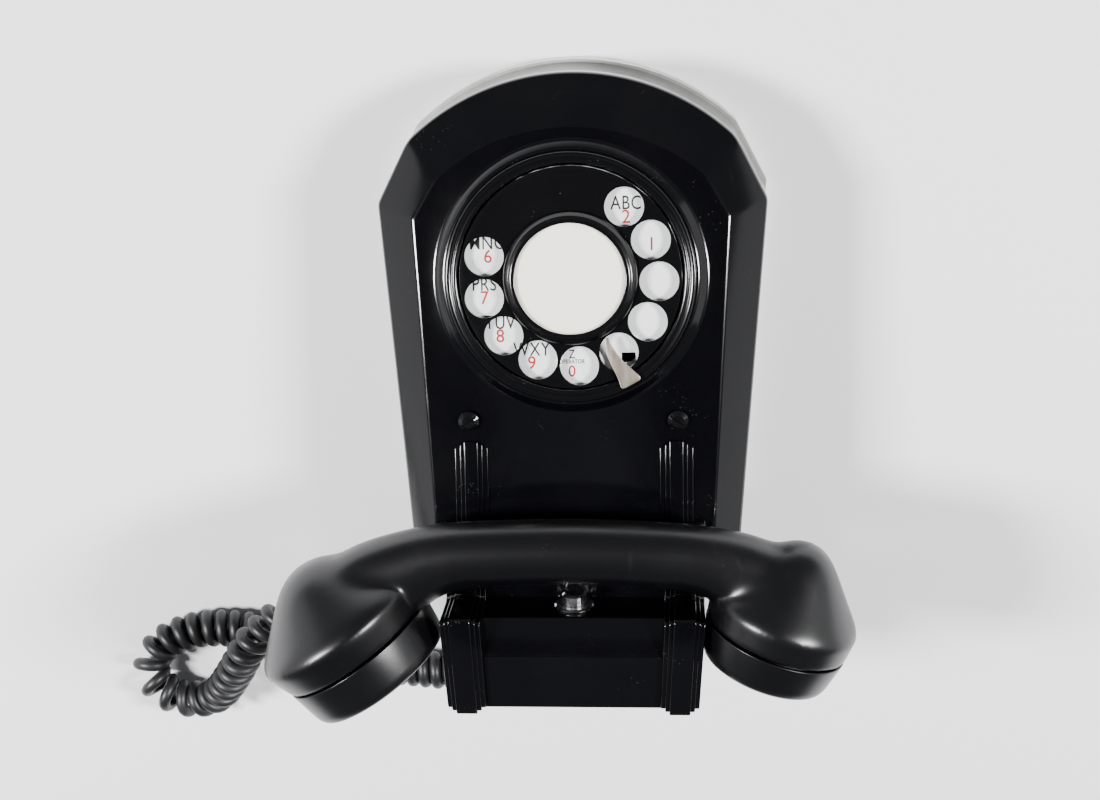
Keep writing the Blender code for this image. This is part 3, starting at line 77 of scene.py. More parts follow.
def faces_of_grid(rows, columns, round_columns=False, round_rows=False):
    """Quads over a grid of points numbered row by row: each joins a point, the next one along its
    row, and the two behind them in the next row. A round grid joins its last line to its first."""
    across = columns if round_columns else columns - 1
    down = rows if round_rows else rows - 1
    row, column = np.meshgrid(np.arange(down), np.arange(across), indexing="ij")
    row, column = row.ravel(), column.ravel()
    next_row, next_column = (row + 1) % rows, (column + 1) % columns
    corners = (
        row * columns + column,
        row * columns + next_column,
        next_row * columns + next_column,
        next_row * columns + column,
    )
    return np.stack(corners, axis=1)


def new_piece(name, points, faces, sharp=30, weld=True):
    """A mesh object at the origin from arrays of points and of quads, with its normals outwards."""
    mesh = bpy.data.meshes.new(name)
    corners = np.asarray(points, float).reshape(-1, 3).tolist()
    mesh.from_pydata(corners, [], [list(face) for face in faces])
    piece = bpy.data.objects.new(name, mesh)
    bpy.context.scene.collection.objects.link(piece)
    if weld:
        outwards(mesh)
    mesh.shade_smooth()
    mesh.set_sharp_from_angle(angle=math.radians(sharp))
    return piece


def outwards(mesh, reach=0.000002):
    """Merges the mesh's doubled points, drops what has no area, and turns its faces outwards."""
    bm = bmesh.new()
    bm.from_mesh(mesh)
    bmesh.ops.remove_doubles(bm, verts=bm.verts, dist=reach)
    bmesh.ops.dissolve_degenerate(bm, edges=bm.edges, dist=reach)
    bmesh.ops.recalc_face_normals(bm, faces=bm.faces)
    bm.to_mesh(mesh)
    bm.free()


class Amount:
    """A number that varies over a surface: it wraps a socket, and arithmetic adds Math nodes."""

    def __init__(self, finish, socket):
        self.finish, self.socket = finish, socket

    def _math(self, operation, *values, clamp=False):
        """The outcome of one Math node on two values."""
        node = self.finish.node("ShaderNodeMath", {"operation": operation, "use_clamp": clamp}, values)
        return Amount(self.finish, node.outputs[0])

    def __add__(self, other):
        return self._math("ADD", self, other)

    __radd__ = __add__

    def __sub__(self, other):
        return self._math("SUBTRACT", self, other)

    def __rsub__(self, other):
        return self._math("SUBTRACT", other, self)

    def __mul__(self, other):
        return self._math("MULTIPLY", self, other)

    __rmul__ = __mul__

    def above(self, edge, width):
        """0 below edge, 1 above edge + width, and a straight ramp between them."""
        return self._math("MULTIPLY", self - edge, 1 / width, clamp=True)

    def times(self, other):
        """The product of the two, kept between 0 and 1."""
        return self._math("MULTIPLY", self, other, clamp=True)


class Finish:
    """A material under construction: its shader, and one method that adds any node."""

    def __init__(self, name, **plain):
        self.material = bpy.data.materials.new(name)
        self.material.use_nodes = True
        self.nodes, self.links = self.material.node_tree.nodes, self.material.node_tree.links
        self.shader = self.nodes["Principled BSDF"]
        for socket, value in plain.items():
            self.feed(self.shader.inputs[socket.replace("_", " ")], value)

    def feed(self, socket, value):
        """Links or sets one input, whichever the value is."""
        if isinstance(value, Amount):
            self.links.new(value.socket, socket)
        elif isinstance(value, bpy.types.NodeSocket):
            self.links.new(value, socket)
        elif hasattr(value, "__len__") and len(value) == 3 and socket.type == "RGBA":
            socket.default_value = (*value, 1.0)
        else:
            socket.default_value = value

    def node(self, kind, settings=None, values=None):
        """Adds a node: first its settings, such as an operation, then the values of its inputs."""
        node = self.nodes.new(kind)
        for setting, value in (settings or {}).items():
            setattr(node, setting, value)
        named = values.items() if isinstance(values, dict) else enumerate(values or ())
        for socket, value in named:
            self.feed(node.inputs[socket], value)
        return node

    def place(self):
        """The point on the piece, in metres."""
        return self.node("ShaderNodeTexCoord").outputs["Object"]

    def stretched(self, x, y, z):
        """The point on the piece with its three directions scaled."""
        values = {"Vector": self.place(), "Scale": (x, y, z)}
        return self.node("ShaderNodeMapping", {}, values).outputs[0]

    def noise(self, scale, detail=3.0, rough=0.55, at=None):
        """Smooth random blotches from 0 to 1, about 1 / scale metres across."""
        values = {"Vector": at or self.place(), "Scale": scale, "Detail": detail, "Roughness": rough}
        return Amount(self, self.node("ShaderNodeTexNoise", {}, values).outputs[0])

    def cells(self, scale, at=None):
        """The distance from the nearest of many scattered points."""
        values = {"Vector": at or self.place(), "Scale": scale}
        return Amount(self, self.node("ShaderNodeTexVoronoi", {}, values).outputs["Distance"])

    def blend(self, amount, first, second):
        """A colour between two colours."""
        node = self.node("ShaderNodeMix", {"data_type": "RGBA"}, {0: amount, 6: first, 7: second})
        return node.outputs[2]

    def bump(self, height, strength, distance):
        """Small relief in the shading, as high as distance where height is 1."""
        values = {"Height": height, "Strength": strength, "Distance": distance}
        self.feed(self.shader.inputs["Normal"], self.node("ShaderNodeBump", {}, values).outputs[0])

    def colour(self, value):
        """Sets what colours the surface."""
        self.feed(self.shader.inputs["Base Color"], value)

    def roughness(self, value):
        """Sets how dull the surface is, from 0 for a mirror to 1 for chalk."""
        self.feed(self.shader.inputs["Roughness"], value)


table_height = -0.0002
across, along = np.meshgrid(np.linspace(-2.4, 2.4, 2), np.linspace(-2.2, 2.6, 2))
table_points = np.stack((across, along, across * 0 + table_height), axis=-1)
table = new_piece("table_top", table_points, faces_of_grid(2, 2))
paper = Finish("white_table", Base_Color=(0.86, 0.86, 0.875), Roughness=0.85)
paper.bump(paper.noise(60, 4), 0.05, 0.0005)
table.data.materials.append(paper.material)

world = bpy.data.worlds.new("studio_surroundings")
bpy.context.scene.world = world
world.use_nodes = True
surroundings = world.node_tree.nodes["Background"]
surroundings.inputs["Color"].default_value = (0.93, 0.95, 1.0, 1.0)
surroundings.inputs["Strength"].default_value = 0.17


def soft_light(name, place, aim, width, height, power):
    """A rectangular light that faces a point."""
    data = bpy.data.lights.new(name, "AREA")
    data.shape, data.size, data.size_y, data.energy = "RECTANGLE", width, height, power
    lamp = bpy.data.objects.new(name, data)
    bpy.context.scene.collection.objects.link(lamp)
    lamp.location = place
    lamp.rotation_euler = (Vector(aim) - Vector(place)).to_track_quat("-Z", "Y").to_euler()


soft_light("left_softbox", (-0.86, 0.06, 1.02), (0, 0, 0), 0.20, 0.34, 38)
soft_light("right_softbox", (0.92, 0.10, 1.02), (0, 0, 0), 0.20, 0.34, 36)
soft_light("left_screen", (-1.30, 0.05, 0.30), (0, 0, 0.05), 1.5, 0.5, 2.6)
soft_light("right_screen", (1.35, 0.05, 0.30), (0, 0, 0.05), 1.5, 0.5, 2.2)
card_lines, card_height, card_arch = 9, 1.15, 0.25
card_x, card_y = np.linspace(-0.5, 0.5, card_lines), np.linspace(-0.35, 0.75, card_lines)
spread = np.stack(np.meshgrid(card_x, card_y), axis=-1)
arch = card_height - card_arch * spread[..., :1] ** 2
card_points, card_faces = np.concatenate((spread, arch), axis=-1), faces_of_grid(card_lines, card_lines)
card = new_piece("black_card", card_points, card_faces, weld=False)
felt = Finish("black_card", Base_Color=(0.004, 0.004, 0.004), Roughness=0.9)
felt.bump(felt.noise(300, 3), 0.1, 0.0005)
card.data.materials.append(felt.material)


# Coiled cord. A rubber-jacketed lead wound into a spring, with a plain tail at each end. It leaves
# the foot of the body, lies on the table behind the mouth end, loops back over itself at the left
# and rises to the mouth cup. It is one round section carried along one path.

cord_thickness = 0.0046
cord_sides = 12
coil_width = 0.0150
coil_gap = 0.0003  # between two turns on a straight run
steps_per_turn = 24
run_in = 0.010  # the length over which the coil opens from the plain tail
plain_lead = 0.0075  # the straight length at the mouth cup
slack_at, slack_reach, slack_share = 0.262, 0.030, 0.35  # where the coil hangs a little open
foot_tail = (
    (-0.0240, -0.1566, 0.0136),
    (-0.0254, -0.1620, 0.0110),
    (-0.0285, -0.1660, 0.0092),
)
coil_line = (
    (-0.0350, -0.1694, 0.0078),
    (-0.0480, -0.1722, 0.0078),
    (-0.0640, -0.1712, 0.0078),
    (-0.0910, -0.1680, 0.0078),
    (-0.1070, -0.1645, 0.0078),
    (-0.1210, -0.1590, 0.0078),
    (-0.1330, -0.1550, 0.0078),
    (-0.1450, -0.1538, 0.0078),
    (-0.1560, -0.1545, 0.0078),
    (-0.1670, -0.1586, 0.0078),
    (-0.1745, -0.1660, 0.0078),
    (-0.1755, -0.1750, 0.0080),
    (-0.1690, -0.1825, 0.0082),
    (-0.1590, -0.1845, 0.0090),
    (-0.1480, -0.1800, 0.0130),
    (-0.1380, -0.1660, 0.0220),
    (-0.1290, -0.1510, 0.0280),
    (-0.1180, -0.1400, 0.0300),
    (-0.1090, -0.1340, 0.0296),
)
cup_tail = (-0.1035, -0.1290, 0.0305)
cord_exit = (-0.0240, -0.15162, 0.0142)
cord_entry = (-0.09403, -0.11674, 0.04977)
entry_aim = (-0.14886, -0.30186, -0.94166)


def smooth_line(points, step):
    """A smooth line through points, at even steps: between each two it is the cubic whose slope at
    a point is half the way from the point before to the point after (Catmull-Rom)."""
    p = np.asarray(points, float)
    p = np.vstack((2 * p[0] - p[1], p, 2 * p[-1] - p[-2]))
    a, b, c, d = p[:-3, None], p[1:-2, None], p[2:-1, None], p[3:, None]
    t = np.linspace(0, 1, 40, endpoint=False)[None, :, None]
    cubic = b + 0.5 * t * (c - a + t * (2 * a - 5 * b + 4 * c - d + t * (3 * b - 3 * c + d - a)))
    fine = np.vstack((cubic.reshape(-1, p.shape[1]), p[-2]))
    run = np.concatenate(([0], np.cumsum(np.linalg.norm(np.diff(fine, axis=0), axis=1))))
    wanted = np.linspace(0, run[-1], max(3, round(run[-1] / step)))
    return np.stack([np.interp(wanted, run, column) for column in fine.T], axis=1)


def headings(line):
    """Unit directions along a line, from the points either side."""
    way = np.gradient(line, axis=0)
    return way / np.linalg.norm(way, axis=1, keepdims=True)


def square_to(way, up=(0, 0, 1)):
    """Two unit directions square to each heading: the part of up across it, and the cross product
    of the two."""
    up = np.broadcast_to(np.asarray(up, float), way.shape)
    high = up - (up * way).sum(1, keepdims=True) * way
    high = high / np.linalg.norm(high, axis=1, keepdims=True)
    return high, np.cross(way, high)


def tube(line, radius, sides):
    """A round section carried along a line: point = line + radius (cos a high + sin a side). The
    frame is turned from one station to the next by the least amount, so the skin never twists."""
    way = headings(line)
    high = np.empty_like(line)
    high[0] = square_to(way[:1], (0.1, 0.3, 1))[0][0]
    for i in range(1, len(line)):
        kept = high[i - 1] - high[i - 1].dot(way[i]) * way[i]
        high[i] = kept / np.linalg.norm(kept)
    side = np.cross(way, high)
    angle = np.linspace(0, 2 * np.pi, sides, endpoint=False)
    radius = np.broadcast_to(radius, len(line))[:, None, None]
    ring = np.cos(angle)[None, :, None] * high[:, None] + np.sin(angle)[None, :, None] * side[:, None]
    skin = line[:, None] + radius * ring
    first, last = np.repeat(line[:1, None], sides, 1), np.repeat(line[-1:, None], sides, 1)
    closed = np.concatenate((first, skin, last))
    return closed, faces_of_grid(len(closed), sides, round_columns=True)


coil_radius = (coil_width - cord_thickness) / 2
lead_out = np.asarray(cord_entry) + np.outer((plain_lead, 0), entry_aim)
axis_line = smooth_line((cord_exit, *foot_tail, *coil_line, cup_tail, *lead_out), 0.0005)
travel = np.arange(len(axis_line)) * np.linalg.norm(axis_line[1] - axis_line[0])
axis_way = headings(axis_line)
bend = np.linalg.norm(np.gradient(axis_way, travel, axis=0), axis=1)
evened = 12  # points on either side that the bend is averaged over
bend = np.pad(bend, evened, "edge")
bend = np.convolve(bend, np.ones(2 * evened + 1) / (2 * evened + 1), "valid")
from_start = np.linalg.norm(axis_line - np.asarray(coil_line[0]), axis=1).argmin()
from_end = np.linalg.norm(axis_line - np.asarray(coil_line[-1]), axis=1).argmin()
opening = np.clip((travel - travel[from_start]) / run_in, 0, 1)
rise = opening * np.clip((travel[from_end] - travel) / run_in, 0, 1)
swell = coil_radius * rise * rise * (3 - 2 * rise)
slack = 1 + slack_share * np.exp(-(((travel - slack_at) / slack_reach) ** 2))
pitch = slack * (cord_thickness + coil_gap) / np.clip(1 - coil_radius * bend, 0.45, 1)
phase = 2 * np.pi * np.cumsum(np.gradient(travel) / pitch)
axis_high, axis_side = square_to(axis_way)
wire_steps = int((phase[-1] - phase[0]) / (2 * np.pi) * steps_per_turn)
fine_phase = np.linspace(phase[0], phase[-1], wire_steps)
wire_axis, turn_high, turn_side = (
    np.stack([np.interp(fine_phase, phase, column) for column in rows.T], axis=1)
    for rows in (axis_line, axis_high, axis_side)
)
wire_swell = np.interp(fine_phase, phase, swell)[:, None]
wire_out = np.cos(fine_phase)[:, None] * turn_high + np.sin(fine_phase)[:, None] * turn_side
wire_line = wire_axis + wire_swell * wire_out

cord_points, cord_faces = tube(wire_line, cord_thickness / 2, cord_sides)
coiled_cord = new_piece("coiled_handset_cord", cord_points, cord_faces, sharp=60)
rubber = Finish("black_cord_rubber", Base_Color=(0.010, 0.010, 0.011), Specular_IOR_Level=0.5)
worn = rubber.noise(90, 4)
rubber.roughness(0.34 + 0.22 * worn)
rubber.colour(rubber.blend(worn.above(0.5, 0.3), (0.008, 0.008, 0.009), (0.020, 0.020, 0.021)))
rubber.bump(rubber.noise(1400, 3) + 0.6 * worn, 0.10, 0.0004)
coiled_cord.data.materials.append(rubber.material)
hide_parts("cord_tail_phone", "curly_cord", "cord_tail_handset")
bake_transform(coiled_cord)


# Cord sleeves. A moulded rubber strain relief holds the cord where it leaves the foot of the body,
# and a shorter one where it enters the mouth end of the handset. Each is a turned, ringed taper.


def seated(points, origin, up, forward=(1, 0, 0)):
    """Moves points from a piece's own axes to their place: its Z goes along up, and its X as near
    to forward as that allows."""
    z = np.asarray(up, float) / np.linalg.norm(up)
    x = np.asarray(forward, float) - np.dot(forward, z) * z
    x = x / np.linalg.norm(x)
    return np.asarray(points, float) @ np.stack((x, np.cross(z, x), z)) + np.asarray(origin, float)


def spun(profile, sides):
    """A profile of (radius, height) points turned about Z: x = radius cos a, y = radius sin a."""
    profile = np.asarray(profile, float)
    angle = np.linspace(0, 2 * np.pi, sides, endpoint=False)[None, :]
    radius, height = profile[:, :1], profile[:, 1:]
    points = np.stack((radius * np.cos(angle), radius * np.sin(angle), height + 0 * angle), axis=-1)
    return points, faces_of_grid(len(profile), sides, round_columns=True)


def dress(piece, finish, body, slot, *nodes):
    """Gives a new piece its finish and the body that it rides on, and hides the nodes it stands for. The slot
    argument is not used.
    """
    piece.data.materials.clear()
    piece.data.materials.append(finish.material)
    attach(piece, body)
    if nodes:
        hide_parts(*nodes)
    return piece


ring_count, ring_height, sleeve_sides = 5, 0.00028, 40
sleeve_run = np.linspace(0, 1, 60)
sleeve_rings = ring_height * np.cos(sleeve_run * 2 * np.pi * ring_count)
sleeve_rings = sleeve_rings * (sleeve_run > 0.12) * (sleeve_run < 0.92)


def sleeve(name, origin, up, length, thick, thin):
    """A taper with five shallow rings, from thick at its root to thin at its mouth."""
    radius = thick + (thin - thick) * sleeve_run**0.8 + sleeve_rings
    outside = np.stack((radius, sleeve_run * length), axis=1)
    lip = 0.0004
    profile = np.vstack(((0, 0), outside, (thin - lip, length + lip), (0, length + lip)))
    points, faces = spun(profile, sleeve_sides)
    return new_piece(name, seated(points, origin, up), faces)


sleeve_rubber = Finish("black_sleeve_rubber", Base_Color=(0.011, 0.011, 0.012))
sleeve_rubber.roughness(0.42 + 0.2 * sleeve_rubber.noise(160, 3))
sleeve_rubber.bump(sleeve_rubber.noise(1800, 2), 0.08, 0.0003)
foot_sleeve = sleeve("foot_cord_sleeve", (-0.0240, -0.1390, 0.0142), (0, -1, 0), 0.0128, 0.0049, 0.0029)
dress(foot_sleeve, sleeve_rubber, "root", "black_rubber", "cord_grommet")
sleeve_root = np.asarray(cord_entry) - 0.0150 * np.asarray(entry_aim)
handset_sleeve = sleeve("handset_cord_sleeve", sleeve_root, entry_aim, 0.0158, 0.0040, 0.0029)
dress(handset_sleeve, sleeve_rubber, "handset", "black_rubber", "handset_grommet")


# Housing. One black phenolic moulding, just under 3 mm thick. Its sides rise from the tray to a
# chamfer, and its sloping front carries a round boss for the dial. It is a stack of outlines, from
# the tray over the rounded edges of the chamfer to the circles of the boss, thickened inwards.

face_middle = 0.0547
face_slope = math.tan(math.radians(7.69))
dial_up = (0, 0.13381, 0.99101)
chamfer = 0.009
tray_top = 0.0086
wall_thickness = 0.0026
arc = np.linspace(0, 1, 13)


def eased(corners, reach, steps=5, closed=False):
    """A line through corners that rounds each one: it leaves the corner's two sides at reach from
    it, and follows the parabola between them that has the corner as its control point."""
    p = np.asarray(corners, float)
    before, after = np.roll(p, 1, 0), np.roll(p, -1, 0)
    reach = np.broadcast_to(reach, len(p))[:, None]
    back = np.maximum(np.linalg.norm(before - p, axis=1, keepdims=True), 1e-9)
    ahead = np.maximum(np.linalg.norm(after - p, axis=1, keepdims=True), 1e-9)
    start = (p + (before - p) * np.minimum(reach / back, 0.45))[:, None]
    end = (p + (after - p) * np.minimum(reach / ahead, 0.45))[:, None]
    t = np.linspace(0, 1, steps)[None, :, None]
    curve = (1 - t) ** 2 * start + 2 * t * (1 - t) * p[:, None] + t**2 * end
    if not closed:
        curve[0], curve[-1] = p[0], p[-1]
    return curve.reshape(-1, p.shape[1])


def arched(top, end, rest):
    """A closed outline, clockwise from the top: a circular arc down to end, the corners in rest,
    and the same mirrored. The arc is level at its top."""
    drop = top - end[1]
    radius = (end[0] ** 2 + drop**2) / (2 * drop)
    sweep = np.arcsin(end[0] / radius) * arc
    curve = np.stack((radius * np.sin(sweep), top - radius + radius * np.cos(sweep)), 1)
    half = np.vstack((curve, rest))
    return np.vstack((half, (half * (-1, 1))[:0:-1]))


def stations(corners, reach, spans):
    """Rounds an outline's corners and divides its sides, so that outlines of as many corners match
    point for point."""
    steps = 6
    rounded = eased(corners, reach, steps, closed=True).reshape(len(corners), steps, 2)
    last, first = rounded[:, -1:], np.roll(rounded, -1, 0)[:, :1]
    parts = []
    for i, count in enumerate(spans):
        share = (np.arange(1, count) / count)[:, None]
        parts.append(np.vstack((rounded[i], last[i] + (first[i] - last[i]) * share)))
    return np.vstack(parts)


side_spans = [1] * 12 + [8, 44, 5, 12]
spans = side_spans + [36] + side_spans[:0:-1] + [1]
body_sides = ((0.0678, 0.0239), (0.0584, -0.096), (0.0457, -0.1085), (0.0436, -0.1417))
face_sides = ((0.0543, 0.0202), (0.0487, -0.0925), (0.0372, -0.10425), (0.0351, -0.1332))
body_corners = arched(0.0677, (0.0569, 0.0452), body_sides)
face_corners = arched(0.0505, (0.0466, 0.0331), face_sides)
body_line = stations(body_corners, [0.004] * 13 + [0.0016] * 8 + [0.004] * 12, spans)
face_line = stations(face_corners, [0.003] * 13 + [0.0012] * 8 + [0.003] * 12, spans)


def on_face(line, drop):
    """The outline on the sloping front, or the same slope lowered by drop."""
    return np.column_stack((line, face_middle - face_slope * line[:, 1] - drop))


def edge_rows(below, edge, beyond, reach_below, reach_beyond, steps=6):
    """Rows that round the ridge at edge, from the ring below it to the ring beyond it."""
    down, out = below - edge, beyond - edge
    start = edge + down * np.minimum(reach_below / np.linalg.norm(down, axis=1, keepdims=True), 0.5)
    end = edge + out * np.minimum(reach_beyond / np.linalg.norm(out, axis=1, keepdims=True), 0.5)
    t = np.linspace(0, 1, steps)[:, None, None]
    return (1 - t) ** 2 * start + 2 * t * (1 - t) * edge + t**2 * end


low_ring = np.column_stack((body_line, body_line[:, 0] * 0 + tray_top))
chamfer_ring, front_ring = on_face(body_line, chamfer), on_face(face_line, 0)
bearing = np.arctan2(front_ring[:, 1], front_ring[:, 0])
boss_corners = ((0.0478, 0), (0.0468, 0.0003), (0.0440, 0.0030), (0.0413, 0.0030), (0.0413, -0.0040))
boss_profile = eased(boss_corners, 0.0009, 6)
boss = np.stack((
    boss_profile[:, :1] * np.cos(bearing),
    boss_profile[:, :1] * np.sin(bearing),
    boss_profile[:, 1:] + 0 * bearing,
), axis=-1)
boss = seated(boss, (0, 0, face_middle), dial_up)
shell_rows = np.concatenate((
    low_ring[None],
    edge_rows(low_ring, chamfer_ring, front_ring, 0.0012, 0.0012),
    edge_rows(chamfer_ring, front_ring, boss[0], 0.0010, 0.0010),
    boss,
))
shell_faces = faces_of_grid(len(shell_rows), len(body_line), round_columns=True)
shell = new_piece("moulded_housing", shell_rows, shell_faces, sharp=38)
wall = shell.modifiers.new("wall", "SOLIDIFY")
wall.thickness, wall.offset = wall_thickness, -1


def moulding(name, dull=0.12, dusty=0.20, grain=0.012):
    """Black phenolic: deep and glossy, with smears, hairline scratches and settled dust."""
    finish = Finish(name, Specular_IOR_Level=0.5)
    smear = finish.noise(26, 5, 0.6)
    hair = finish.noise(240, 2, 0.5, finish.stretched(1.0, 0.08, 1.0))
    speck = 1 - finish.cells(800).above(0.07, 0.08)
    rare = finish.noise(75, 2).above(0.60, 0.05)
    dust = speck * rare
    finish.roughness(dull + 0.06 * smear.above(0.45, 0.4) + 0.05 * hair.above(0.66, 0.1) + 0.2 * dust)
    tone = finish.blend(smear.above(0.5, 0.35), (0.0012, 0.0012, 0.0018), (0.0024, 0.0024, 0.0030))
    finish.colour(finish.blend(dusty * dust, tone, (0.16, 0.16, 0.16)))
    finish.bump(finish.noise(300, 2) + 0.5 * smear, grain, 0.0004)
    return finish


black_moulding = moulding("black_phenolic")
dress(shell, black_moulding, "root", "black_moulding", "housing")


# Cradle. Part of the same moulding: a hollow block with a glossy shelf and a sloping panel, a
# stepped pillar at each side with a ledge for the handset, and three nested ribs above each
# pillar. Each is a closed section carried along a straight line, with its ends rounded.


def foot_at(height):
    """The place along Y of the foot of the body at a height: it leans out as it rises."""
    return -0.1385 - 0.0577 * height


def bar(name, corners, low, high, round_corners, round_ends, order=(0, 1, 2), change=None):
    """A section carried from low to high. At each end it shrinks by r (1 - sin a) square to its
    outline as it goes r (1 - cos a) past the start of the rounding, and a flat face closes it."""
    section = eased(corners, round_corners, 5, closed=True)
    way = np.roll(section, -1, 0) - np.roll(section, 1, 0)
    way = way / np.maximum(np.linalg.norm(way, axis=1, keepdims=True), 1e-9)
    beyond = np.roll(section, -1, 0)
    area = (section[:, 0] * beyond[:, 1] - section[:, 1] * beyond[:, 0]).sum()
    outward = np.stack((way[:, 1], -way[:, 0]), axis=1) * np.sign(area)
    a = np.linspace(0, np.pi / 2, 6)
    past = round_ends * (1 - np.cos(a))
    shrink = round_ends * (1 - np.sin(a))
    where = np.concatenate((low + past, (high - past)[::-1]))
    shrink = np.concatenate((shrink, shrink[::-1]))
    rows = section[None] - shrink[:, None, None] * outward[None]
    points = np.concatenate((where[:, None, None] + 0 * rows[..., :1], rows), axis=-1)[..., list(order)]
    if change is not None:
        points = change(points)
    count = len(section)
    faces = faces_of_grid(len(where), count, round_columns=True).tolist()
    faces += [list(range(count)), list(range((len(where) - 1) * count, len(where) * count))]
    return new_piece(name, points, faces, sharp=40)


def drawn_in(points):
    """The block's sides close in towards its foot: X shrinks in proportion to the way past the
    corner where the body narrows."""
    (wide, narrow_from), (narrow, _) = body_sides[2:]
    share = (1 - narrow / wide) / 0.030
    x = points[..., :1] * (1 - share * np.maximum(0, narrow_from - points[..., 1:2]))
    return np.concatenate((x, points[..., 1:]), axis=-1)


block_corners = (
    (-0.1130, 0.0600),
    (-0.1124, 0.0880),
    (-0.1235, 0.0950),
    (foot_at(0.0962) + 0.0008, 0.0962),
    (foot_at(tray_top) + 0.0008, tray_top),
    (-0.1130, tray_top),
)
block_half, block_rounds = 0.0325, (0.0002, 0.0008, 0.0009, 0.0016, 0.0002, 0.0002)
block = bar("cradle_block", block_corners, -block_half, block_half, block_rounds, 0.0002, change=drawn_in)
dress(block, black_moulding, "root", "black_moulding", "housing")


def pillar_corners(proud):
    """One step of a pillar, from the pad under the handle down the ledge, over the lip and down the
    front to the tray."""
    pad, lip, back = 0.0710 + proud, 0.0962 + proud, proud - 0.0016
    foot = foot_at(lip + 0.0022) - back
    seat_top = 0.0852
    return (
        (-seat_top, face_middle + face_slope * seat_top - 0.0015),
        (-seat_top, face_middle + face_slope * seat_top + 0.0004 + proud / 4),
        (-0.0875, pad),
        (-0.1065 + back, pad),
        (-0.1100 + back, 0.0756),
        (-0.1093 + back, lip - 0.0002),
        (foot + 0.0002, lip + 0.0022),
        (foot_at(tray_top) - back, tray_top),
        (-0.1125, tray_top),
        (-0.1125, 0.0570),
    )


pillar_rounds = (0.0003, 0.0008, 0.0020, 0.0022, 0.0020, 0.0016, 0.0016, 0.0003, 0.0003, 0.0003)
pillar_in, pillar_out, pillar_step, pillar_rise = 0.0317, 0.0457, 0.0016, 0.0008
rib_middle, rib_foot, rib_root = 0.0359, -0.088, -0.0012
rib_sizes = (  # width, height above the front, top end
    (0.0117, 0.0006, -0.0597),
    (0.0080, 0.0012, -0.05855),
    (0.0049, 0.0018, -0.0574),
)
rib_rounds = (0.0001, 0.0004, 0.0004, 0.0001)


def on_front(points):
    """Moves points from the axes of the sloping front, which start at the dial, to their place."""
    return seated(points, (0, 0, face_middle), dial_up)


for side, hand in ((-1, "left"), (1, "right")):
    for step in range(3):
        ends = sorted((side * (pillar_in + pillar_step * step), side * (pillar_out - pillar_step * step)))
        corners = pillar_corners(pillar_rise * step)
        name = f"cradle_pillar_{hand}_{step + 1}"
        pillar = bar(name, corners, *ends, pillar_rounds, 0.0004, change=drawn_in)
        dress(pillar, black_moulding, "root", "black_moulding", "housing")
    for step, (width, proud, top) in enumerate(rib_sizes):
        low, high = side * rib_middle - width / 2, side * rib_middle + width / 2
        corners = ((low, rib_root), (low, proud), (high, proud), (high, rib_root))
        name = f"front_rib_{hand}_{step + 1}"
        rib = bar(name, corners, rib_foot, top, rib_rounds, 0.0004, order=(1, 0, 2), change=on_front)
        dress(rib, black_moulding, "root", "black_moulding", "housing")


# Handset. A hollow handle with a cup at each end, moulded in one, and a screwed cap over each cup:
# a deep one with the mouthpiece and a shallower one with the earpiece. The cups are turned shapes
# and the handle is an oval carried along its bend; all three are then fused and smoothed.

handset_height = 0.0840
grip_line = (  # x, y, half its width and half its thickness
    (-0.0748, -0.1130, 0.0235, 0.0185),
    (-0.0668, -0.1030, 0.0182, 0.0150),
    (-0.0552, -0.0957, 0.0140, 0.0124),
    (-0.0400, -0.0913, 0.0117, 0.0112),
    (-0.0200, -0.0899, 0.0112, 0.0110),
    (0.0000, -0.0896, 0.0112, 0.0110),
    (0.0200, -0.0902, 0.0112, 0.0110),
    (0.0400, -0.0919, 0.0116, 0.0111),
    (0.0540, -0.0955, 0.0134, 0.0122),
    (0.0630, -0.1015, 0.0160, 0.0142),
    (0.0680, -0.1100, 0.0180, 0.0165),
)
cups = (  # name, middle of its face, turn, radii of rim, seam and ridge, depths of seam and ridge
    ("mouth", (-0.0679, -0.1366), 33.9, 0.0264, 0.0290, 0.0321, 0.0150, 0.0255),
    ("ear", (0.0653, -0.1333), -18.8, 0.0218, 0.0251, 0.0261, 0.0136, 0.0223),
)
cup_depth = 0.0495
grip_sides, cup_sides, cap_sides = 72, 120, 144


def cup_seat(points, face, turn):
    """Moves a turned shape so that its axis runs from the middle of a cup's face to its back."""
    turn = math.radians(turn)
    to_back = (-math.sin(turn), math.cos(turn), 0)
    return seated(points, (*face, handset_height), to_back, (math.cos(turn), math.sin(turn), 0))


def baked(piece):
    """Makes the piece's modifiers part of its mesh."""
    graph = bpy.context.evaluated_depsgraph_get()
    mesh = bpy.data.meshes.new_from_object(piece.evaluated_get(graph))
    piece.modifiers.clear()
    piece.data = mesh
    return piece


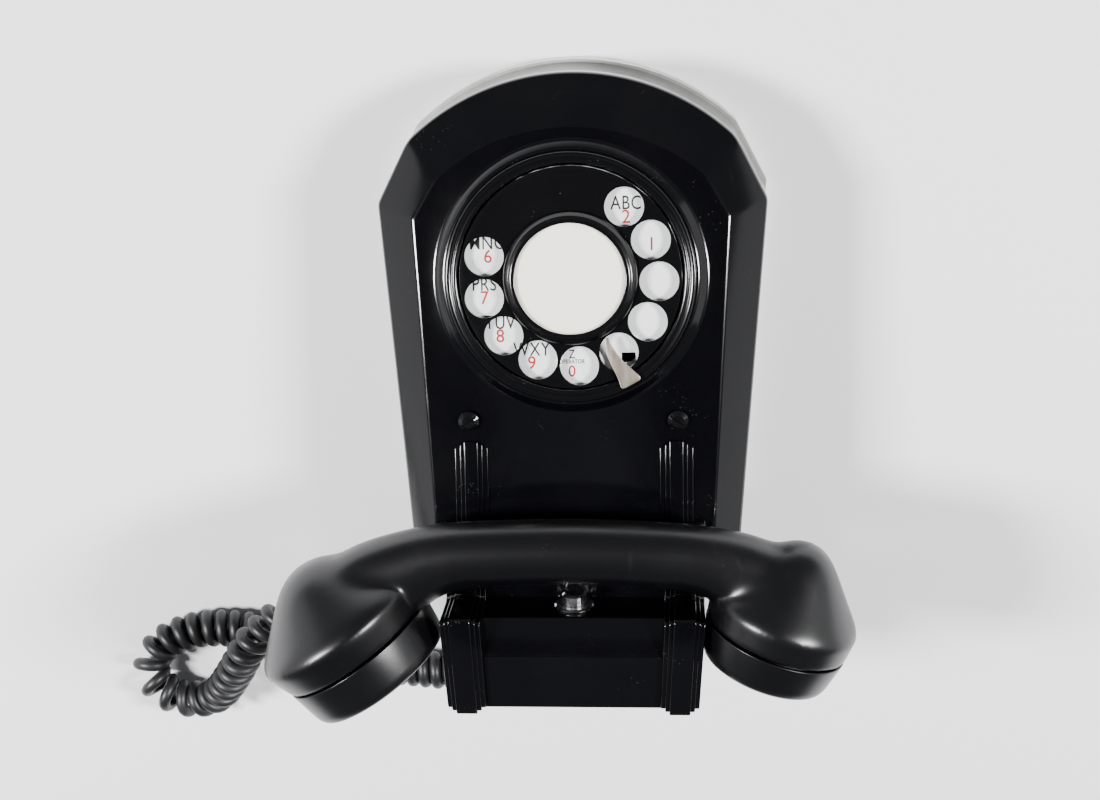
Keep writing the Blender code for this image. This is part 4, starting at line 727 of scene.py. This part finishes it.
grip = smooth_line(grip_line, 0.0012)
middle = np.column_stack((grip[:, :2], 0 * grip[:, 0] + handset_height))
half, thick = grip[:, 2:3], grip[:, 3:]
grip_way = headings(middle)
grip_side = np.cross((0, 0, 1), grip_way)
angle = np.linspace(0, 2 * np.pi, grip_sides, endpoint=False)[None, :, None]
skin = middle[:, None] + half[:, None] * np.cos(angle) * grip_side[:, None]
skin = skin + thick[:, None] * np.sin(angle) * np.array((0.0, 0.0, 1.0))
grip_ends = [np.repeat(point[None, None], grip_sides, 1) for point in (middle[0], middle[-1])]
skin = np.concatenate((grip_ends[0], skin, grip_ends[1]))
handset_parts = [(skin.reshape(-1, 3), faces_of_grid(len(skin), grip_sides, round_columns=True))]
for name, face, turn, rim_r, seam_r, ridge_r, seam, ridge in cups:
    corners = (
        (0, cup_depth),
        (ridge_r * 0.16, cup_depth - 0.0004),
        (ridge_r * 0.36, cup_depth - 0.0034),
        (ridge_r * 0.93, ridge + 0.0042),
        (ridge_r * 1.005, ridge + 0.0006),
        (ridge_r * 0.99, ridge - 0.0018),
        (seam_r, seam + 0.0002),
        (0, seam + 0.0002),
    )
    profile = eased(corners, (0, 0.003, 0.006, 0.004, 0.0024, 0.003, 0.0004, 0), 7)
    points, faces = spun(profile, cup_sides)
    handset_parts.append((cup_seat(points.reshape(-1, 3), face, turn), faces))
counts = np.cumsum([0] + [len(points) for points, _ in handset_parts])
handset_points = np.vstack([points for points, _ in handset_parts])
handset_faces = np.vstack([faces + start for (_, faces), start in zip(handset_parts, counts)])
handle = new_piece("handset_moulding", handset_points, handset_faces)
fuse = handle.modifiers.new("fuse", "REMESH")
fuse.mode, fuse.voxel_size = "VOXEL", 0.00075
baked(handle)
spots = np.empty(len(handle.data.vertices) * 3)
handle.data.vertices.foreach_get("co", spots)
spots = spots.reshape(-1, 3)
joins = handle.vertex_groups.new(name="joins")
for name, face, turn, rim_r, seam_r, ridge_r, seam, ridge in cups:
    back = np.array((-math.sin(math.radians(turn)), math.cos(math.radians(turn)), 0))
    deep = (spots - (*face, handset_height)) @ back
    reach = np.linalg.norm(spots - (*face, handset_height) - 0.036 * back, axis=1)
    past_ridge = np.clip((deep - ridge - 0.0035) / 0.006, 0, 1)
    weight = past_ridge * np.clip((0.044 - reach) / 0.012, 0, 1)
    for share in range(1, 11):
        near = np.flatnonzero(np.ceil(weight * 10) == share)
        joins.add(near.tolist(), share / 10, "REPLACE")
for name, factor, iterations, group in (("blend", 0.5, 150, "joins"), ("soften", 0.5, 14, "")):
    soften = handle.modifiers.new(name, "SMOOTH")
    soften.factor, soften.iterations, soften.vertex_group = factor, iterations, group
baked(handle).data.shade_smooth()
handset_moulding = moulding("handset_phenolic", 0.30, 0.12, 0.05)
dress(handle, handset_moulding, "handset", "black_moulding", "handset_handle")


def pierced_disc(holes, hole_r, pitch, step, first, inner, outer, around=12):
    """A flat ring with round holes, in one sector for each hole. A point goes straight from the
    hole's edge (v = 0) to the sector's outline (v = 1), so it is edge + v (outline - edge). What the
    sectors leave of the circle is filled with plain ones."""
    half = step / 2
    end = np.linspace(-half, half, around * 2 + 1)[:-1]
    radial = np.linspace(0, 1, around + 1)[:-1]
    polar = np.concatenate((
        np.stack((np.full(len(end), outer), end), 1),
        np.stack((outer + (inner - outer) * radial, np.full(len(radial), half)), 1),
        np.stack((np.full(len(end), inner), -end), 1),
        np.stack((inner + (outer - inner) * radial, np.full(len(radial), -half)), 1),
    ))
    outline = polar[:, :1] * np.stack((np.cos(polar[:, 1]), np.sin(polar[:, 1])), 1)
    aim = outline - (pitch, 0)
    edge = (pitch, 0) + hole_r * aim / np.linalg.norm(aim, axis=1, keepdims=True)
    v = np.array((0, 0.06, 0.16, 0.4, 1.0))[:, None, None]
    sector = edge + v * (outline - edge)
    turns = first - step * np.arange(holes)
    spin = np.stack((np.cos(turns), np.sin(turns), -np.sin(turns), np.cos(turns)), 1).reshape(-1, 2, 2)
    points = np.einsum("vpi,nij->nvpj", sector, spin)
    grid = faces_of_grid(5, len(outline), round_columns=True)
    faces = [grid + n * 5 * len(outline) for n in range(holes)]
    points = points.reshape(-1, 2)
    left = 2 * np.pi - holes * step
    if left > 1e-6:
        sweep = first + half + np.linspace(0, left, round(left / (step / around / 2)) + 1)
        span = inner + (outer - inner) * np.linspace(0, 1, around + 1)[:, None]
        gap = np.stack((span * np.cos(sweep), span * np.sin(sweep)), -1)
        faces.append(faces_of_grid(around + 1, len(sweep)) + len(points))
        points = np.vstack((points, gap.reshape(-1, 2)))
    return np.column_stack((points, points[:, 0] * 0)), np.vstack(faces)


sound_holes, sound_hole_r, hub_r, cap_wall = 6, 0.0014, 0.0030, 0.0022
cap_kinds = {"mouth": ("transmitter_cap", 0.0095), "ear": ("receiver_cap", 0.0060)}  # node, hole circle
for name, face, turn, rim_r, seam_r, ridge_r, seam, ridge in cups:
    node, hole_circle = cap_kinds[name]
    flat = rim_r - 0.0036
    corners = (
        (seam_r - 0.0012, seam - 0.0001),
        (seam_r, seam - 0.0004),
        (rim_r + 0.0008, 0.0026),
        (rim_r - 0.0005, 0.0003),
        (flat, 0),
    )
    profile = eased(corners, (0, 0.0003, 0.0016, 0.0012, 0), 6)
    points, faces = spun(profile, cap_sides)
    sector = 2 * np.pi / sound_holes
    disc, disc_faces = pierced_disc(sound_holes, sound_hole_r, hole_circle, sector, 0, hub_r, flat)
    hub, hub_faces = spun(((hub_r, 0), (0, 0)), cap_sides)
    disc_start = cap_sides * len(profile)
    points = np.vstack((points.reshape(-1, 3), disc, hub.reshape(-1, 3)))
    faces = np.vstack((faces, disc_faces + disc_start, hub_faces + disc_start + len(disc)))
    piece = new_piece(f"{name}_cap", cup_seat(points, face, turn), faces, sharp=40)
    depth = piece.modifiers.new("wall", "SOLIDIFY")
    depth.thickness, depth.offset = cap_wall, -1
    dress(piece, handset_moulding, "handset", "black_moulding", node)


# Dial, the parts that stay still. A black bezel ring sits on the boss and holds a plate of satin
# white enamel, printed with red digits and black letters. The finger stop is a bent strip of
# nickel-plated steel that reaches in over the wheel from the lower right.

print_circle, hole_step = 0.0302, math.radians(27.43)
enamel_black = Finish("black_dial_enamel", Base_Color=(0.005, 0.005, 0.0055))
enamel_smear = enamel_black.noise(45, 4)
enamel_specks = (1 - enamel_black.cells(620).above(0.07, 0.07)) * enamel_black.noise(110, 2).above(0.60, 0.05)
enamel_black.roughness(0.10 + 0.12 * enamel_smear + 0.3 * enamel_specks)
enamel_black.colour(enamel_black.blend(0.25 * enamel_specks, (0.0022, 0.0022, 0.0026), (0.2, 0.2, 0.2)))
enamel_black.bump(enamel_black.noise(260, 2), 0.010, 0.0003)


def dial_piece(name, points, faces, sharp=35):
    """A piece whose points are on the axes of the sloping front, moved to its place."""
    return new_piece(name, on_front(np.reshape(points, (-1, 3))), faces, sharp)


bezel_corners = (
    (0.0390, -0.0030),
    (0.0390, 0.0044),
    (0.0402, 0.0047),
    (0.0408, 0.0040),
    (0.0414, 0.0047),
    (0.0426, 0.0049),
    (0.0430, 0.0042),
    (0.0430, 0.0033),
    (0.0407, 0.0033),
    (0.0407, -0.0030),
    (0.0390, -0.0030),
)
bezel_rounds = [0, 0.0005] + [0.0006] * 6 + [0.0002, 0.0002, 0]
bezel_points, bezel_faces = spun(eased(bezel_corners, bezel_rounds, 5), 180)
bezel = dial_piece("dial_bezel", bezel_points, bezel_faces)
dress(bezel, enamel_black, "root", "black_enamel", "dial_mount_ring")

plate_shade = (0.78, 0.79, 0.80)
plate_white = Finish("white_plate_enamel", Base_Color=plate_shade, Coat_Weight=0.4, Coat_Roughness=0.12)
plate_stain = plate_white.noise(120, 5, 0.65)
plate_white.colour(plate_white.blend(plate_stain.above(0.52, 0.35), (0.80, 0.81, 0.82), (0.60, 0.60, 0.59)))
plate_white.roughness(0.28 + 0.2 * plate_stain)
plate_white.bump(plate_white.noise(900, 2), 0.03, 0.0002)

printing = {}
for shade, colour in (("red", (0.30, 0.004, 0.006)), ("black", (0.003, 0.003, 0.003))):
    ink = Finish(f"{shade}_dial_print", Base_Color=colour)
    wear = ink.noise(1500, 3)
    ink.colour(ink.blend(wear.above(0.60, 0.25), colour, tuple(0.85 * c + 0.03 for c in colour)))
    ink.roughness(0.35 + 0.2 * wear)
    printing[shade] = ink
signs = ("1", "2ABC", "3DEF", "4GHI", "5JKL", "6MNO", "7PRS", "8TUV", "9WXY", "0Z")
lines = []
for number, sign in enumerate(signs):
    around = math.radians(270) - hole_step * (len(signs) - 1 - number)
    x, y = print_circle * math.cos(around), print_circle * math.sin(around)
    if sign == "0Z":
        lines += [("0", x, y - 0.0026, 0.0056, "red"), ("Z", x, y + 0.0034, 0.0044, "black")]
        lines += [("OPERATOR", x, y + 0.0009, 0.0021, "black")]
    else:
        drop = 0.0030 if len(sign) > 1 else 0.0009
        lines += [(sign[0], x, y - drop, 0.0065, "red")]
        lines += [(sign[1:], x, y + 0.0017, 0.0067, "black")] * (len(sign) > 1)
print_height, narrowing = 0.00134, {"red": 0.95, "black": 0.78}
for number, (words, x, y, size, shade) in enumerate(lines):
    font = bpy.data.curves.new("dial_print", "FONT")
    font.body, font.size, font.resolution_u = words, size, 4
    font.align_x, font.align_y = "CENTER", "CENTER"
    font.space_character, font.offset = 1.08, 0.00004
    flat = bpy.data.objects.new("dial_print", font)
    mesh = bpy.data.meshes.new_from_object(flat)
    bpy.data.objects.remove(flat)
    spots = np.empty(len(mesh.vertices) * 3)
    mesh.vertices.foreach_get("co", spots)
    spots = spots.reshape(-1, 3) * (narrowing[shade], 1, 1) + (x, y, print_height)
    mesh.vertices.foreach_set("co", on_front(spots).ravel())
    mark = bpy.data.objects.new(f"dial_print_{number + 1}", mesh)
    bpy.context.scene.collection.objects.link(mark)
    dress(mark, printing[shade], "root", "white_enamel")


def cut_from_sheet(piece, thickness, edge, segments, sharp):
    """Gives a flat piece its thickness, downwards, and eases its edges by a small bevel."""
    depth = piece.modifiers.new("thickness", "SOLIDIFY")
    depth.thickness, depth.offset = thickness, -1
    ease = piece.modifiers.new("edges", "BEVEL")
    ease.width, ease.segments = edge, segments
    ease.limit_method, ease.angle_limit = "ANGLE", math.radians(50)
    baked(piece).data.shade_smooth()
    piece.data.set_sharp_from_angle(angle=math.radians(sharp))
    return piece


nickel = Finish("worn_nickel", Metallic=0.95)
nickel_wear = nickel.noise(350, 5, 0.6, nickel.stretched(1.0, 0.25, 1.0))
nickel.colour(nickel.blend(nickel_wear.above(0.45, 0.3), (0.36, 0.31, 0.26), (0.50, 0.46, 0.41)))
nickel.roughness(0.30 + 0.20 * nickel_wear)
nickel.bump(nickel_wear, 0.05, 0.0002)
stop_height, stop_thickness = 0.0063, 0.0010
stop_corners = (  # x, y and the reach of the corner's rounding, clockwise from its foot
    (0.0171, -0.0383, 0.0010),
    (0.0190, -0.0377, 0.0030),
    (0.0238, -0.0350, 0.0010),
    (0.0236, -0.0338, 0.0010),
    (0.0206, -0.0311, 0.0040),
    (0.0174, -0.0281, 0.0040),
    (0.0148, -0.0246, 0.0040),
    (0.0129, -0.0206, 0.0006),
    (0.0120, -0.0205, 0.0006),
    (0.0115, -0.0216, 0.0020),
    (0.0120, -0.0257, 0.0040),
    (0.0136, -0.0299, 0.0040),
    (0.0160, -0.0345, 0.0040),
)
stop_outline = eased([row[:2] for row in stop_corners], [row[2] for row in stop_corners], 6, closed=True)
stop_points = on_front(np.column_stack((stop_outline, np.full(len(stop_outline), stop_height))))
stop = new_piece("bent_finger_stop", stop_points, [list(range(len(stop_points)))], weld=False)
if stop.data.polygons[0].normal.z < 0:
    stop.data.flip_normals()
cut_from_sheet(stop, stop_thickness, 0.00022, 3, 40)
dress(stop, nickel, "root", "nickel", "finger_stop")


# Dial, what turns. The wheel is a pressed and enamelled disc with ten finger holes, whose edges are
# eased. A bevelled ring screws down over its middle and holds an ivory card under a clear window.

wheel_r, wheel_bore, wheel_top, wheel_sheet = 0.0381, 0.0120, 0.0046, 0.0016
finger_holes, finger_hole_r, finger_circle, first_hole = 10, 0.00675, 0.0304, math.radians(52.3)
wheel_flat, wheel_faces = pierced_disc(
    finger_holes, finger_hole_r, finger_circle, hole_step, first_hole, wheel_bore, wheel_r, around=14
)
wheel = dial_piece("pierced_finger_wheel", wheel_flat + (0, 0, wheel_top), wheel_faces)
cut_from_sheet(wheel, wheel_sheet, 0.00045, 4, 35)
dress(wheel, enamel_black, "dial_rotor", "black_enamel", "finger_wheel")

ring_corners = (
    (0.0199, 0.0049),
    (0.0199, 0.0077),
    (0.0190, 0.0077),
    (0.0190, 0.0081),
    (0.0203, 0.0082),
    (0.0210, 0.0076),
    (0.0213, 0.0075),
    (0.0229, 0.0058),
    (0.0230, 0.0049),
    (0.0199, 0.0049),
)
ring_rounds = [0.0002] * 3 + [0.0004, 0.0005, 0.0003, 0.0003, 0.0006, 0.0003, 0.0002]
ring_points, ring_faces = spun(eased(ring_corners, ring_rounds, 5), 160)
card_ring = dial_piece("bevelled_card_ring", ring_points, ring_faces)
dress(card_ring, enamel_black, "dial_rotor", "black_moulding", "card_ring")

card_to_middle = (0, -0.0009, -0.0619)  # takes the middle of the card to the centre of the pattern
stained_from, stain_edge = 0.0172, 0.0016
ivory = Finish("ivory_card", Base_Color=(0.92, 0.90, 0.81), Coat_Weight=0.5, Coat_Roughness=0.06)
centring = {"Vector": ivory.place(), "Location": card_to_middle}
centred = ivory.node("ShaderNodeMapping", {}, centring).outputs[0]
distance = ivory.node("ShaderNodeVectorMath", {"operation": "LENGTH"}, (centred,)).outputs["Value"]
rim = Amount(ivory, distance).above(stained_from, stain_edge)
fibre = ivory.noise(900, 4)
stain = ivory.noise(160, 5, 0.7).above(0.47, 0.2).times(rim)
aged = ivory.blend(fibre, (0.92, 0.90, 0.76), (0.95, 0.94, 0.82))
ivory.colour(ivory.blend(0.55 * stain, aged, (0.33, 0.28, 0.19)))
ivory.roughness(0.38 + 0.15 * fibre)
ivory.bump(fibre, 0.04, 0.0002)

window = Finish("clear_window", Base_Color=(0.97, 0.97, 0.95), Roughness=0.06, IOR=1.46)
window.feed(window.shader.inputs["Alpha"], 0.05 + 0.05 * window.noise(220, 3))


# Tray, screws, hook switch and what the case hides. These CAD solids have their true shapes, so
# they stay as they are, and only take their finishes: enamelled and plated steel, nickel, chrome,
# brass, enamelled copper wire, laminated board, and the foil of the condenser's can.


def metal(name, low, high, shine, metallic=1.0, grain=(1, 1, 1), strength=0.05):
    """Bare or plated metal: two tones and a roughness that wander with its grain and tarnish."""
    finish = Finish(name, Metallic=metallic)
    tarnish = finish.noise(130, 5, 0.6)
    line = finish.noise(900, 3, 0.6, finish.stretched(*grain))
    finish.colour(finish.blend(tarnish.above(0.35, 0.4), high, low))
    finish.roughness(shine + 0.15 * tarnish + 0.12 * line)
    finish.bump(line, strength, 0.0002)
    return finish


winding = Finish("copper_winding", Metallic=0.55)
wave = {"Vector": winding.place(), "Scale": 700, "Distortion": 0.4}
turns = Amount(winding, winding.node("ShaderNodeTexWave", {"bands_direction": "Y"}, wave).outputs[1])
# The colour follows the relief of the turns: painted shade in the grooves between them and painted light on
# their crests.
winding.colour(winding.blend(turns, (0.16, 0.045, 0.018), (0.46, 0.16, 0.06)))
winding.roughness(0.35 + 0.2 * turns)
winding.bump(turns, 0.4, 0.0003)

board = Finish("laminated_board", Base_Color=(0.14, 0.07, 0.035))
layers = board.noise(500, 4, 0.6, board.stretched(1, 1, 8))
board.colour(board.blend(layers, (0.09, 0.042, 0.020), (0.20, 0.105, 0.052)))
board.roughness(0.45 + 0.25 * layers)
board.bump(layers, 0.10, 0.0002)

finishes = {
    "black_moulding": black_moulding,
    "black_enamel": enamel_black,
    "black_rubber": sleeve_rubber,
    "zinc_steel": metal("zinc_plate", (0.40, 0.40, 0.37), (0.58, 0.58, 0.56), 0.30, grain=(1, 0.2, 1)),
    "nickel": nickel,
    "chrome": metal("polished_chrome", (0.62, 0.62, 0.63), (0.80, 0.80, 0.81), 0.04, strength=0.01),
    "brass": metal("aged_brass", (0.34, 0.21, 0.07), (0.62, 0.43, 0.17), 0.26, grain=(1, 0.2, 1)),
    "copper_winding": winding,
    "white_enamel": plate_white,
    "ivory_card": ivory,
    "clear_sheet": window,
    "brown_board": board,
    "foil_can": metal("foil_can", (0.42, 0.42, 0.40), (0.62, 0.62, 0.60), 0.28, metallic=0.9),
}
for part in frame["record"]["subparts"]:
    node = frame["nodes"][part["node"]]
    node.data.materials.clear()
    node.data.materials.append(finishes[part["material_slot"]].material)
